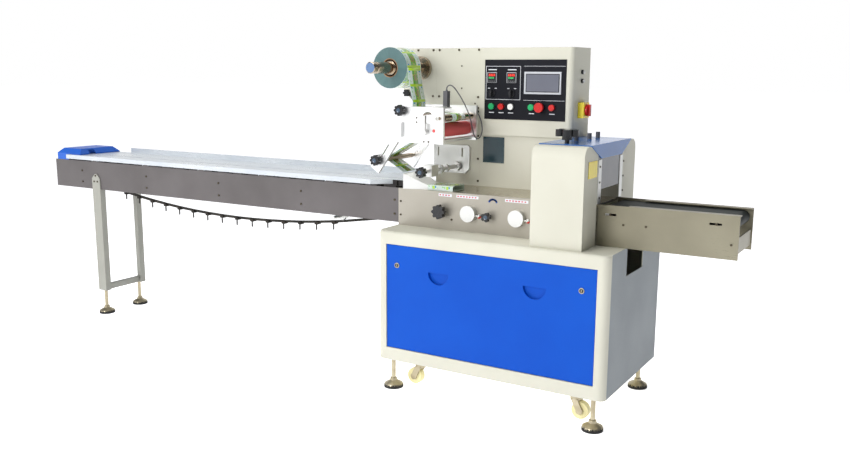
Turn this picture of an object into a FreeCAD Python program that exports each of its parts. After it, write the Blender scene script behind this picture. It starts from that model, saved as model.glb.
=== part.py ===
"""Horizontal flow wrapper: a parametric assembly in millimetres.

+X runs with the product, from infeed to outfeed, -Y is the operator's side and +Z is up.
The origin lies on the floor under the middle of the machine.
"""
import FreeCAD, Part
import math
import os

import Sketcher
from FreeCAD import Placement, Rotation, Vector

DOC = FreeCAD.newDocument("FlowWrapper")
SHEET = DOC.addObject("Spreadsheet::Sheet", "Sizes")

# Every size that can be set by itself: its name, its value in millimetres and what it is.
SIZES = (
    ("cabinet_length", 1020, "cabinet, along the machine"),
    ("cabinet_depth", 640, "cabinet, front to back"),
    ("cabinet_under", 135, "underside of the cabinet above the floor"),
    ("cabinet_top", 695, "top of the cabinet above the floor"),
    ("cabinet_wall", 4, "sheet of the cabinet"),
    ("cabinet_corner", 28, "round of the cabinet's upright front corners"),
    ("cabinet_edge", 12, "round of the cabinet's top edges at the front"),
    ("frame_depth", 30, "front frame, front to back"),
    ("frame_side", 44, "front frame beside the access panel"),
    ("frame_rail", 54, "front frame above and below the access panel"),
    ("panel_gap", 2, "running gap round the access panel"),
    ("panel_thick", 18, "access panel"),
    ("panel_inset", 3, "face of the access panel behind the frame"),
    ("pad_setin", 60, "locating pad under the panel from its side"),
    ("pad_length", 40, "locating pad under the panel"),
    ("pull_width", 96, "half-moon pull in the access panel"),
    ("pull_depth", 12, "depth of a half-moon pull"),
    ("pull_drop", 98, "straight edge of a pull below the panel's top"),
    ("pull_setin", 250, "middle of a pull from the panel's side"),
    ("notch_width", 200, "notch in the outfeed side of the cabinet"),
    ("notch_height", 112, "height of that notch"),
    ("foot_radius", 42, "disc of a levelling foot"),
    ("foot_rubber", 10, "rubber base of a levelling foot"),
    ("foot_dome", 22, "domed disc of a levelling foot"),
    ("foot_rod", 9, "radius of a levelling foot's threaded rod"),
    ("foot_inset_along", 54, "levelling foot from the cabinet's end"),
    ("foot_inset_deep", 42, "levelling foot from the cabinet's face"),
    ("caster_along", 150, "swivel axis of a caster from the cabinet's end"),
    ("caster_deep", 110, "swivel axis of a caster from the cabinet's face"),
    ("caster_trail", 22, "wheel axle of a caster from its swivel axis"),
    ("caster_wheel", 35, "radius of a caster wheel"),
    ("caster_tread", 28, "width of a caster wheel"),
    ("caster_gap", 5, "room each side of a caster wheel"),
    ("caster_lift", 10, "caster wheel above the floor, on its levelled feet"),
    ("caster_axle", 6, "radius of a caster axle"),
    ("caster_plate", 5, "fixing plate of a caster"),
    ("fork_sheet", 4, "sheet of a caster fork"),
    ("pin_play", 0.3, "play of a turning piece on its pin"),
    ("infeed_length", 2310, "infeed conveyor, from its end to the cabinet"),
    ("infeed_setback", 165, "front of the infeed and the bed behind the cabinet's front"),
    ("infeed_width", 270, "infeed conveyor, front to back"),
    ("side_under", 705, "lower edge of the infeed side plates above the floor"),
    ("deck_level", 856, "top of the bed and of the side plates above the floor"),
    ("side_sheet", 4, "infeed side plate"),
    ("table_level", 886, "top of the infeed table above the floor"),
    ("table_sheet", 3, "infeed table plate"),
    ("table_lip", 22, "turned-down front edge of the table"),
    ("table_overhang", 15, "table in front of the infeed side plate"),
    ("table_start", 110, "table from the infeed's end"),
    ("table_taper_start", 140, "start of the tapered table end before the cabinet"),
    ("table_taper_end", 60, "end of the tapered table end before the cabinet"),
    ("table_taper", 62, "how far the tapered table end steps back"),
    ("slot_width", 16, "slot in the table for the pushers"),
    ("line_setback", 250, "middle of the product line behind the cabinet's front"),
    ("rail_height", 26, "rail along the back of the table"),
    ("rail_start", 310, "back rail from the infeed's end"),
    ("hood_length", 195, "cover over the infeed's end, along the machine"),
    ("hood_height", 62, "cover over the infeed's end"),
    ("hood_bevel", 26, "bevel round that cover"),
    ("hood_inset", 18, "that cover from the infeed's end"),
    ("stand_setin", 335, "middle of the stand from the infeed's end"),
    ("stand_width", 62, "stand leg, along the machine"),
    ("stand_flange", 34, "stand leg, front to back"),
    ("stand_sheet", 5, "angle section of a stand leg"),
    ("stand_under", 134, "lower end of the stand legs above the floor"),
    ("stand_lap", 84, "stand leg over the infeed side plate"),
    ("stand_point", 24, "clipped corners of a stand leg's upper end"),
    ("stand_bar", 30, "square cross-bar of the stand"),
    ("chain_width", 12, "pusher chain, front to back"),
    ("chain_height", 11, "pusher chain, upright"),
    ("chain_sag_low", 622, "lowest point of the hanging chain above the floor"),
    ("chain_sag_middle", 1010, "that lowest point before the cabinet"),
    ("chain_sag_radius", 5000, "radius of the hanging chain"),
    ("sprocket_radius", 48, "chain sprocket, to the inside of the chain"),
    ("sprocket_level", 782, "sprocket shafts above the floor"),
    ("tail_setin", 150, "tail sprocket from the infeed's end"),
    ("head_setin", 60, "head sprocket past the start of the cabinet"),
    ("guide_setin", 360, "guide roller under the chain before the cabinet"),
    ("guide_radius", 20, "that guide roller"),
    ("pusher_pitch", 101.6, "pushers along the chain"),
    ("pusher_block", 20, "pusher carrier, along the chain"),
    ("pusher_rod", 2.5, "radius of a pusher finger"),
    ("pusher_reach", 30, "pusher finger below its carrier"),
    ("bed_plate", 10, "front, top and back plates of the bed"),
    ("backbone", 414, "film plates behind the cabinet's front"),
    ("wheel_radius", 31, "black handwheel on the bed"),
    ("wheel_setin", 222, "that handwheel from the start of the cabinet"),
    ("control_level", 774, "handwheel and levers on the bed above the floor"),
    ("dial_radius", 34, "disc that carries a sealing lever"),
    ("dial_thick", 24, "depth of that disc"),
    ("lever_one", 352, "first sealing lever from the start of the cabinet"),
    ("lever_two", 572, "second sealing lever from the start of the cabinet"),
    ("lever_reach", 50, "ball of a sealing lever from its disc's middle"),
    ("lever_ball", 9, "radius of a sealing lever's ball"),
    ("star_setin", 444, "star knob from the start of the cabinet"),
    ("star_radius", 20, "star knob on the bed"),
    ("plate_thick", 10, "film plates"),
    ("plate_top", 1455, "top of the film plates and the control box above the floor"),
    ("plate_seam", 42, "seam between the film plates after the start of the cabinet"),
    ("plate_right", 266, "right edge of the film plates after the start of the cabinet"),
    ("plate_left", 140, "left film plate before the start of the cabinet"),
    ("wing_under", 1207, "lower edge of the left film plate above the floor"),
    ("wing_cut_along", 68, "clipped corner of the left film plate, along"),
    ("wing_cut_up", 76, "clipped corner of the left film plate, upright"),
    ("column_depth", 170, "housings behind the film plates, front to back"),
    ("column_inset", 24, "column behind the film plates from their free edges"),
    ("box_length", 428, "control box"),
    ("box_front", 404, "front of the control box behind the cabinet's front"),
    ("box_under", 1084, "underside of the control box above the floor"),
    ("box_depth", 186, "control box, front to back"),
    ("box_corner", 20, "round of the control box's upright front corner"),
    ("overlay_left", 24, "control panel from the box's left edge"),
    ("overlay_width", 374, "control panel"),
    ("overlay_under", 1153, "lower edge of the control panel above the floor"),
    ("overlay_height", 252, "control panel"),
    ("overlay_thick", 2, "control panel sheet"),
    ("window_left", 16, "dark window from the housing's left edge"),
    ("window_width", 102, "dark window of the lower housing"),
    ("window_under", 963, "lower edge of the dark window above the floor"),
    ("window_height", 112, "dark window of the lower housing"),
    ("screen_left", 188, "touch screen from the control panel's left edge"),
    ("screen_width", 166, "touch screen"),
    ("screen_under", 110, "touch screen above the control panel's lower edge"),
    ("screen_height", 92, "touch screen"),
    ("screen_thick", 5, "touch screen bezel"),
    ("meter_size", 44, "temperature controller"),
    ("meter_level", 1330, "temperature controllers above the floor"),
    ("meter_thick", 6, "temperature controller bezel"),
    ("meter_one", 37, "first controller from the control panel's left edge"),
    ("meter_two", 129, "second controller from the control panel's left edge"),
    ("selector_level", 1264, "selector switches above the floor"),
    ("selector_radius", 14, "selector switch"),
    ("button_level", 1208, "push buttons above the floor"),
    ("button_radius", 13, "push button"),
    ("button_thick", 12, "push button"),
    ("button_pitch", 45.5, "push buttons on the left"),
    ("button_green", 223, "green button from the control panel's left edge"),
    ("button_red", 316, "last red button from the control panel's left edge"),
    ("stop_setin", 264, "stop button from the control panel's left edge"),
    ("stop_radius", 20, "head of the stop button"),
    ("stop_travel", 6, "travel of the stop button"),
    ("isolator_level", 1198, "isolator switch above the floor"),
    ("isolator_setback", 497, "isolator switch behind the cabinet's front"),
    ("isolator_size", 64, "square plate of the isolator"),
    ("isolator_thick", 26, "depth of the isolator's plate"),
    ("isolator_knob", 24, "radius of the isolator's knob"),
    ("isolator_grip", 18, "depth of the isolator's knob"),
    ("roll_along", 35, "film roll axis before the start of the cabinet"),
    ("roll_level", 1368, "film roll axis above the floor"),
    ("roll_radius", 86, "film roll"),
    ("roll_width", 114, "film roll"),
    ("roll_setback", 151, "front of the film roll behind the cabinet's front"),
    ("core_radius", 30, "outside of the spindle inside the roll"),
    ("spindle_radius", 24, "spindle in front of the roll"),
    ("spindle_setback", 4, "front end of the spindle behind the cabinet's front"),
    ("collar_radius", 52, "flange on the spindle at the film plate"),
    ("collar_thick", 20, "that flange"),
    ("feeder_setback", 70, "front feeder plate behind the cabinet's front"),
    ("feeder_plate", 12, "feeder plates"),
    ("feeder_depth", 285, "front faces of the two feeder plates apart"),
    ("feeder_left", 62, "upper left corner of a feeder plate"),
    ("feeder_arm", 80, "tip of a feeder arm before the start of the cabinet"),
    ("feeder_tip", 926, "lowest point of a feeder arm above the floor"),
    ("feeder_right", 276, "right edge of a feeder plate"),
    ("feeder_under", 1063, "lower edge of a feeder plate above the floor"),
    ("feeder_top", 1211, "top of a feeder plate above the floor"),
    ("feed_radius", 29, "rubber feed roller"),
    ("feed_along", 232, "feed roller after the start of the cabinet"),
    ("feed_level", 1116, "feed roller above the floor"),
    ("guide_roller_radius", 15, "chrome roller over the feed roller"),
    ("guide_roller_along", 257, "chrome roller after the start of the cabinet"),
    ("guide_roller_level", 1167, "chrome roller above the floor"),
    ("arm_foot", 41, "right foot of a feeder arm before the start of the cabinet"),
    ("arm_root", 57, "where the arm meets the plate's lower edge, after the start of the cabinet"),
    ("arm_heel", 28, "left end of the arm's foot above its tip"),
    ("arm_knee_along", 18, "knee of the arm before the start of the cabinet"),
    ("arm_knee", 1046, "knee of the arm above the floor"),
    ("arm_hip_along", 38, "hip of the arm after the start of the cabinet"),
    ("arm_hip", 1123, "hip of the arm above the floor"),
    ("arm_shoulder_along", 50, "shoulder of the arm after the start of the cabinet"),
    ("arm_shoulder", 1190, "shoulder of the arm above the floor"),
    ("arm_slot_low_along", 24, "lower end of the arm's slot before the start of the cabinet"),
    ("arm_slot_low", 997, "lower end of the arm's slot above the floor"),
    ("arm_slot_high_along", 13, "upper end of the arm's slot after the start of the cabinet"),
    ("arm_slot_high", 1050, "upper end of the arm's slot above the floor"),
    ("arm_slot_along", 3.3, "half the width of the arm's slot, along the machine"),
    ("arm_slot_up", 2.3, "half the width of the arm's slot, upright"),
    ("sight_along", 203, "sight hole in the front feeder plate after the start of the cabinet"),
    ("sight_level", 1168, "sight hole above the floor"),
    ("sight_radius", 25, "sight hole"),
    ("flange_depth", 66, "flange along the feeder's top"),
    ("flange_left", 111, "left end of that flange after the start of the cabinet"),
    ("tie_upper_along", 130, "upper tie bar of the feeder after the start of the cabinet"),
    ("tie_upper_level", 1180, "upper tie bar above the floor"),
    ("tie_lower_along", 100, "lower tie bar of the feeder after the start of the cabinet"),
    ("tie_lower_level", 1100, "lower tie bar above the floor"),
    ("tie_right_along", 256, "right tie bar of the feeder after the start of the cabinet"),
    ("tie_right_level", 1075, "right tie bar above the floor"),
    ("stay_one_along", 110, "first stay behind the feeder after the start of the cabinet"),
    ("stay_one_level", 1150, "first stay above the floor"),
    ("stay_two_along", 200, "second stay behind the feeder after the start of the cabinet"),
    ("stay_two_level", 1085, "second stay above the floor"),
    ("block_left", 56, "small block on the front feeder plate after the start of the cabinet"),
    ("block_width", 28, "that block"),
    ("block_under", 1087, "that block above the floor"),
    ("block_height", 60, "that block"),
    ("block_depth", 16, "that block"),
    ("head_knob_along", 80, "upper clamp knob after the start of the cabinet"),
    ("head_knob_level", 1196, "upper clamp knob above the floor"),
    ("stem_length", 8, "stem behind a clamp knob"),
    ("sensor_along", 207, "film sensor after the start of the cabinet"),
    ("sensor_setback", 216, "film sensor behind the cabinet's front"),
    ("sensor_width", 20, "film sensor"),
    ("sensor_depth", 24, "film sensor"),
    ("sensor_under", 1203, "film sensor above the floor"),
    ("sensor_height", 71, "film sensor"),
    ("cable_radius", 2.5, "sensor cable"),
    ("gland_radius", 6, "gland at the end of the sensor cable"),
    ("brake_along", 92, "brake knob before the start of the cabinet"),
    ("brake_level", 1258, "brake knob above the floor"),
    ("brake_radius", 17, "brake knob"),
    ("roller_end_gap", 18, "roller to feeder plate"),
    ("journal_radius", 7, "journals of the rollers"),
    ("idler_radius", 11, "idler roller between the arms"),
    ("idler_along", 41, "idler roller before the start of the cabinet"),
    ("idler_level", 983, "idler roller above the floor"),
    ("bar_radius", 8, "tie bar of the feeder"),
    ("knob_radius", 23, "lobed clamp knob"),
    ("knob_thick", 24, "lobed clamp knob"),
    ("lever_along", 198, "nip lever hub after the start of the cabinet"),
    ("lever_level", 1110, "nip lever hub above the floor"),
    ("nip_lever_length", 68, "nip lever"),
    ("bracket_left", 36, "guide bracket after the start of the cabinet"),
    ("bracket_width", 182, "guide bracket"),
    ("bracket_under", 908, "guide bracket above the floor"),
    ("bracket_height", 125, "guide bracket"),
    ("bracket_plate", 8, "guide bracket"),
    ("shaft_along", 160, "guide shaft after the start of the cabinet"),
    ("shaft_level", 940, "guide shaft above the floor"),
    ("shaft_radius", 9, "guide shaft"),
    ("guide_front", 110, "front end of the guide shaft behind the cabinet's front"),
    ("collar_one", 240, "first collar on the guide shaft behind the cabinet's front"),
    ("collar_two", 290, "second collar on the guide shaft behind the cabinet's front"),
    ("collar_seat", 384, "seat of the guide shaft behind the cabinet's front"),
    ("collar_wide", 19, "radius of the guide shaft's collars"),
    ("collar_long", 15, "length of a collar"),
    ("slide_block_near", 150, "sliding block on the guide shaft behind the cabinet's front"),
    ("slide_block_length", 55, "sliding block, front to back"),
    ("slide_block_left", 30, "sliding block left of the shaft"),
    ("slide_block_right", 16, "sliding block right of the shaft"),
    ("slide_block_half", 24, "half the height of the sliding block"),
    ("web_thick", 0.8, "film"),
    ("web_width", 106, "film, flat"),
    ("tube_height", 22, "film tube on the bed"),
    ("tube_width", 100, "film tube on the bed"),
    ("tube_end", 262, "end of the film tube after the start of the cabinet"),
    ("former_start", 30, "forming box after the start of the cabinet"),
    ("former_end", 150, "end of the forming box after the start of the cabinet"),
    ("former_mouth", 150, "mouth of the forming box, front to back"),
    ("former_rise", 66, "mouth of the forming box, upright"),
    ("former_throat", 92, "throat of the forming box, front to back"),
    ("former_drop", 18, "throat of the forming box, upright"),
    ("former_sheet", 3, "sheet of the forming box"),
    ("guard_lap", 6, "how far the sealing guard starts before the control box's right side"),
    ("guard_length", 212, "sealing guard, along the machine"),
    ("guard_setback", 26, "sealing guard behind the cabinet's front"),
    ("guard_wing", 142, "front wing of the sealing guard, front to back"),
    ("guard_rear", 448, "rear wing of the sealing guard behind the cabinet's front"),
    ("guard_rear_wing", 166, "rear wing of the sealing guard, front to back"),
    ("guard_top", 1083, "top of the sealing guard above the floor"),
    ("guard_round", 42, "round of the guard's long top edges"),
    ("visor_sheet", 4, "clear visor of the sealing guard"),
    ("visor_setback", 89, "visor behind the cabinet's front"),
    ("visor_width", 451, "visor, front to back"),
    ("visor_flap", 52, "end flap of the visor"),
    ("visor_gather", 108, "how far the flap narrows at each side"),
    ("pane_sheet", 3, "grey window of the sealing guard"),
    ("pane_under", 911, "lower edge of the grey window above the floor"),
    ("strip_width", 34, "edge strips beside the grey window"),
    ("strip_thick", 3, "edge strips beside the grey window"),
    ("strip_under", 857, "lower end of the edge strips above the floor"),
    ("head_start", 14, "sealing head inside the guard's ends"),
    ("head_under", 950, "underside of the sealing head above the floor"),
    ("post_radius", 9, "guide post of the sealing head"),
    ("post_rise", 28, "guide post above the guard"),
    ("post_middle", 327, "middle of the four posts behind the cabinet's front"),
    ("post_inner", 71, "inner guide posts from that middle"),
    ("post_outer", 169, "outer post and knob from that middle"),
    ("post_along", 87, "posts and knob after the start of the guard"),
    ("top_knob_radius", 46, "five-lobed knob on the guard"),
    ("top_knob_thick", 26, "that knob"),
    ("top_knob_lift", 30, "that knob above the guard"),
    ("outfeed_overhang", 410, "outfeed past the cabinet"),
    ("outfeed_setback", 179, "outfeed behind the cabinet's front"),
    ("outfeed_width", 242, "outfeed conveyor, front to back"),
    ("outfeed_sheet", 4, "outfeed side plate"),
    ("outfeed_flange", 32, "inward flange of an outfeed side plate"),
    ("outfeed_slot", 22, "bolt slot in an outfeed side plate, half its length"),
    ("belt_inset", 8, "belt from the outfeed side plates"),
    ("belt_sheet", 3, "outfeed belt"),
    ("belt_roller", 22, "roller inside the outfeed belt"),
    ("belt_drop", 10, "belt below the outfeed's flanges"),
    ("cross_height", 60, "cross plate at the outfeed's end"),
)


class Size:
    """A length with the sheet expression that gives it, so that arithmetic keeps both."""

    def __init__(self, value, text):
        self.value = float(value)
        self.text = text

    @staticmethod
    def of(item):
        return item if isinstance(item, Size) else Size(item, repr(round(float(item), 9)))

    def __add__(self, other):
        other = Size.of(other)
        return Size(self.value + other.value, f"({self.text} + {other.text})")

    def __sub__(self, other):
        other = Size.of(other)
        return Size(self.value - other.value, f"({self.text} - {other.text})")

    def __mul__(self, other):
        other = Size.of(other)
        return Size(self.value * other.value, f"({self.text} * {other.text})")

    def __truediv__(self, other):
        other = Size.of(other)
        return Size(self.value / other.value, f"({self.text} / {other.text})")

    def __radd__(self, other):
        return Size.of(other) + self

    def __rsub__(self, other):
        return Size.of(other) - self

    def __rmul__(self, other):
        return Size.of(other) * self

    def __neg__(self):
        return Size(-self.value, f"(0 - {self.text})")


class Sizes:
    """The sheet's cells by name."""

    def __init__(self, rows):
        for row, (alias, value, meaning) in enumerate(rows, start=1):
            SHEET.set(f"A{row}", meaning)
            SHEET.set(f"B{row}", str(value))
            SHEET.setAlias(f"B{row}", alias)
        DOC.recompute()
        for alias, _, _ in rows:
            setattr(self, alias, Size(SHEET.get(alias), f"Sizes.{alias}"))


D = Sizes(SIZES)
NODES = []
AXES = {
    "x": Rotation(Vector(0, 1, 0), 90),
    "y": Rotation(Vector(1, 0, 0), -90),
    "z": Rotation(),
}


# ---------------------------------------------------------------- building blocks

def bind(item, **properties):
    """Ties each property of an object to the sheet."""
    for name, size in properties.items():
        item.setExpression(name, Size.of(size).text)


def place(item, x=0, y=0, z=0, turn=None):
    """Puts an object at a point of the machine's frame, with a fixed turn."""
    item.Placement = Placement(Vector(), turn or Rotation())
    for axis, size in zip("xyz", (x, y, z)):
        item.setExpression(f"Placement.Base.{axis}", Size.of(size).text)


def block(name, x, y, z):
    """A box between a low and a high face on each axis."""
    item = DOC.addObject("Part::Box", name)
    bind(item, Length=x[1] - x[0], Width=y[1] - y[0], Height=z[1] - z[0])
    place(item, x[0], y[0], z[0])
    return item


def rod(name, axis, radius, span, centre):
    """A cylinder along an axis, between the two ends of span; centre gives the other two places."""
    item = DOC.addObject("Part::Cylinder", name)
    bind(item, Radius=radius, Height=span[1] - span[0])
    spots = list(centre)
    spots.insert("xyz".index(axis), span[0])
    place(item, *spots, turn=AXES[axis])
    return item


def ball(name, radius, centre):
    """A sphere about a point."""
    item = DOC.addObject("Part::Sphere", name)
    bind(item, Radius=radius)
    place(item, *centre)
    return item


def cut(name, base, *tools):
    """The base without the tools."""
    tool = tools[0] if len(tools) == 1 else fuse(f"{name}_tools", *tools)
    item = DOC.addObject("Part::Cut", name)
    item.Base = base
    item.Tool = tool
    return item


def fuse(name, *pieces):
    """The pieces as one solid."""
    item = DOC.addObject("Part::MultiFuse", name)
    item.Shapes = list(pieces)
    return item


def join(name, *pieces):
    """Like pieces that don't touch, in one node."""
    item = DOC.addObject("Part::Compound", name)
    item.Links = list(pieces)
    return item


def node(name, item):
    """Names a sub-part of the assembly."""
    item.Label = name
    NODES.append(item)
    return item


def outline(sketch, corners):
    """Draws a closed outline whose corners are all held by the sheet."""
    count = len(corners)
    points = [Vector(Size.of(a).value, Size.of(b).value, 0) for a, b in corners]
    first = sketch.GeometryCount
    for index in range(count):
        sketch.addGeometry(Part.LineSegment(points[index], points[(index + 1) % count]))
    for index in range(count):
        following = first + (index + 1) % count
        sketch.addConstraint(Sketcher.Constraint("Coincident", first + index, 2, following, 1))
    for index, corner in enumerate(corners):
        for kind, size in zip(("DistanceX", "DistanceY"), corner):
            size = Size.of(size)
            rule = Sketcher.Constraint(kind, -1, 1, first + index, 1, size.value)
            number = sketch.addConstraint(rule)
            sketch.setExpression(f"Constraints[{number}]", size.text)


def hole(sketch, centre, radius):
    """Draws a round hole held by the sheet."""
    spot = Vector(Size.of(centre[0]).value, Size.of(centre[1]).value, 0)
    index = sketch.addGeometry(Part.Circle(spot, Vector(0, 0, 1), Size.of(radius).value))
    for kind, size in zip(("DistanceX", "DistanceY"), centre):
        size = Size.of(size)
        number = sketch.addConstraint(Sketcher.Constraint(kind, -1, 1, index, 3, size.value))
        sketch.setExpression(f"Constraints[{number}]", size.text)
    radius = Size.of(radius)
    number = sketch.addConstraint(Sketcher.Constraint("Radius", index, radius.value))
    sketch.setExpression(f"Constraints[{number}]", radius.text)


def attached_sketch(body, plane, name):
    """A sketch on one of the body's own origin planes."""
    support = next(o for o in body.Origin.OriginFeatures if o.Role == plane)
    sketch = body.newObject("Sketcher::SketchObject", name)
    sketch.AttachmentSupport = (support, [""])
    sketch.MapMode = "FlatFace"
    return sketch


def profile(name, plane, thick, wires, holes=()):
    """A flat piece: outlines on a plane, padded along the plane's normal."""
    body = DOC.addObject("PartDesign::Body", name)
    sketch = attached_sketch(body, plane, f"{name}_sketch")
    for corners in wires:
        outline(sketch, corners)
    for centre, radius in holes:
        hole(sketch, centre, radius)
    pad = body.newObject("PartDesign::Pad", f"{name}_pad")
    pad.Profile = sketch
    bind(pad, Length=thick)
    sketch.Visibility = False
    return body, pad


def round_edges(body, feature, name, radius, wanted):
    """Rounds the straight edges of a feature that pass the test."""
    DOC.recompute()
    names = []
    for number, edge in enumerate(feature.Shape.Edges, start=1):
        if wanted(edge):
            names.append(f"Edge{number}")
    fillet = body.newObject("PartDesign::Fillet", name)
    fillet.Base = (feature, names)
    bind(fillet, Radius=radius)
    return fillet


def turned(name, corners, base, turn=None):
    """A piece turned about its own upright axis from a half outline (radius, height)."""
    body = DOC.addObject("PartDesign::Body", name)
    sketch = attached_sketch(body, "XZ_Plane", f"{name}_sketch")
    outline(sketch, corners)
    spin = body.newObject("PartDesign::Revolution", f"{name}_spin")
    spin.Profile = sketch
    spin.ReferenceAxis = (sketch, ["V_Axis"])
    spin.Angle = 360
    sketch.Visibility = False
    place(body, *base, turn=turn)
    return body


def lobed(name, axis, radius, span, centre, lobes, lobe_share=0.32):
    """A hand knob: a hub with round lobes about it."""
    lobe = radius * lobe_share
    pieces = [rod(f"{name}_hub", axis, radius - lobe, span, centre)]
    for index in range(lobes):
        angle = 2 * math.pi * index / lobes
        a = centre[0] + (radius - lobe) * math.cos(angle)
        b = centre[1] + (radius - lobe) * math.sin(angle)
        pieces.append(rod(f"{name}_lobe{index}", axis, lobe, span, (a, b)))
    return fuse(name, *pieces)


# ---------------------------------------------------------------- driving places

FRONT = -D.cabinet_depth / 2
BACK = D.cabinet_depth / 2
START = (D.infeed_length - D.cabinet_length - D.outfeed_overhang) / 2
FINISH = START + D.cabinet_length
INFEED_END = START - D.infeed_length
OUTFEED_END = FINISH + D.outfeed_overhang
LINE = FRONT + D.line_setback
SIDE_FRONT = FRONT + D.infeed_setback
SIDE_BACK = SIDE_FRONT + D.infeed_width
PLATE_FACE = FRONT + D.backbone
BOX_FACE = FRONT + D.box_front
BOX_LEFT = START + D.plate_right
BOX_RIGHT = BOX_LEFT + D.box_length
GUARD_LEFT = BOX_RIGHT - D.guard_lap
GUARD_RIGHT = GUARD_LEFT + D.guard_length
BED_END = GUARD_LEFT
SEAT = 0.3


# ---------------------------------------------------------------- cabinet

def cabinet():
    """Welded sheet cabinet: a front frame, three walls, a floor and a top."""
    low = D.cabinet_under
    high = D.cabinet_top
    wall = D.cabinet_wall
    frame, pad = profile("front_frame_body", "XY_Plane", high - low, [[
        (0, 0),
        (D.cabinet_length, 0),
        (D.cabinet_length, D.frame_depth),
        (0, D.frame_depth),
    ]])
    corners = round_edges(frame, pad, "front_frame_round", D.cabinet_corner,
                          lambda edge: upright(edge) and edge.CenterOfMass.y < 1)
    rise = (high - low).value
    deep = D.frame_depth.value
    round_edges(frame, corners, "front_frame_edge", D.cabinet_edge,
                lambda edge: edge.CenterOfMass.z > rise - 1 and edge.CenterOfMass.y < deep - 1)
    place(frame, START, FRONT, low)
    opening = block("panel_opening",
                    (START + D.frame_side, FINISH - D.frame_side),
                    (FRONT - 1, FRONT + D.frame_depth + 1),
                    (low + D.frame_rail, high - D.frame_rail))
    node("cabinet_front_frame", cut("cabinet_front_frame", frame, opening))

    inner = FRONT + D.frame_depth
    left = block("cabinet_left", (START, START + wall), (inner, BACK - wall), (low, high))
    right = block("cabinet_right", (FINISH - wall, FINISH), (inner, BACK - wall), (low, high))
    middle = FRONT + D.outfeed_setback + D.outfeed_width / 2
    notch = block("outfeed_notch",
                  (FINISH - wall - 1, FINISH + 1),
                  (middle - D.notch_width / 2, middle + D.notch_width / 2),
                  (high - D.notch_height, high - wall))
    rear = block("cabinet_rear", (START, FINISH), (BACK - wall, BACK), (low, high))
    decks = [fuse("cabinet_shell", left, cut("cabinet_right_cut", right, notch), rear)]
    for name, base in (("cabinet_floor", low), ("cabinet_cover", high - wall)):
        decks.append(block(name, (START + wall, FINISH - wall), (inner, BACK - wall), (base, base + wall)))
    node("cabinet_walls", join("cabinet_walls", *decks))


def upright(edge):
    """True of an edge that runs along Z."""
    return isinstance(edge.Curve, Part.Line) and abs(edge.tangentAt(edge.FirstParameter).z) > 0.99


def lengthwise(edge):
    """True of an edge that runs along X."""
    return isinstance(edge.Curve, Part.Line) and abs(edge.tangentAt(edge.FirstParameter).x) > 0.99


def access_panel():
    """Lift-off front panel with two half-moon finger pulls."""
    left = START + D.frame_side + D.panel_gap
    right = FINISH - D.frame_side - D.panel_gap
    low = D.cabinet_under + D.frame_rail + D.panel_gap
    high = D.cabinet_top - D.frame_rail - D.panel_gap
    face = FRONT + D.panel_inset
    sheet = block("access_sheet", (left, right), (face, face + D.panel_thick), (low, high))
    pulls = []
    for side, middle in (("left", left + D.pull_setin), ("right", right - D.pull_setin)):
        edge = high - D.pull_drop
        disc = rod(f"pull_disc_{side}", "y", D.pull_width / 2, (face - 1, face + D.pull_depth), (middle, edge))
        above = block(f"pull_above_{side}",
                      (middle - D.pull_width, middle + D.pull_width),
                      (face - 2, face + D.panel_thick),
                      (edge, edge + D.pull_width))
        pulls.append(cut(f"pull_{side}", disc, above))
    pads = []
    for name, x in (("left", left + D.pad_setin), ("right", right - D.pad_setin - D.pad_length)):
        pads.append(block(f"panel_pad_{name}", (x, x + D.pad_length),
                          (face + 2, face + D.panel_thick), (low - D.panel_gap, low)))
    node("access_panel", fuse("access_panel", cut("access_pulls", sheet, *pulls), *pads))


def levelling_foot(name, x, y, top):
    """Rubber base, domed disc and threaded rod, turned as one piece."""
    base = D.foot_rubber
    dome = base + D.foot_dome
    return turned(name, [
        (0, 0),
        (D.foot_radius, 0),
        (D.foot_radius, base),
        (D.foot_radius - 3, base + D.foot_dome / 3),
        (D.foot_rod * 1.8, dome - 2),
        (D.foot_rod * 1.6, dome + D.foot_rod),
        (D.foot_rod, dome + D.foot_rod),
        (D.foot_rod, top),
        (0, top),
    ], (x, y, 0))


def levelling_feet():
    """Four levelling feet under the cabinet's corners and two under the stand."""
    feet = []
    for end, x in (("left", START + D.foot_inset_along), ("right", FINISH - D.foot_inset_along)):
        for side, y in (("front", FRONT + D.foot_inset_deep), ("back", BACK - D.foot_inset_deep)):
            feet.append(levelling_foot(f"foot_{end}_{side}", x, y, D.cabinet_under))
    middle = INFEED_END + D.stand_setin
    inset = D.stand_flange / 2
    for name, y in (("front", SIDE_FRONT + inset), ("back", SIDE_BACK - inset)):
        feet.append(levelling_foot(f"stand_foot_{name}", middle, y, D.stand_under))
    node("levelling_feet", join("levelling_feet", *feet))


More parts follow.
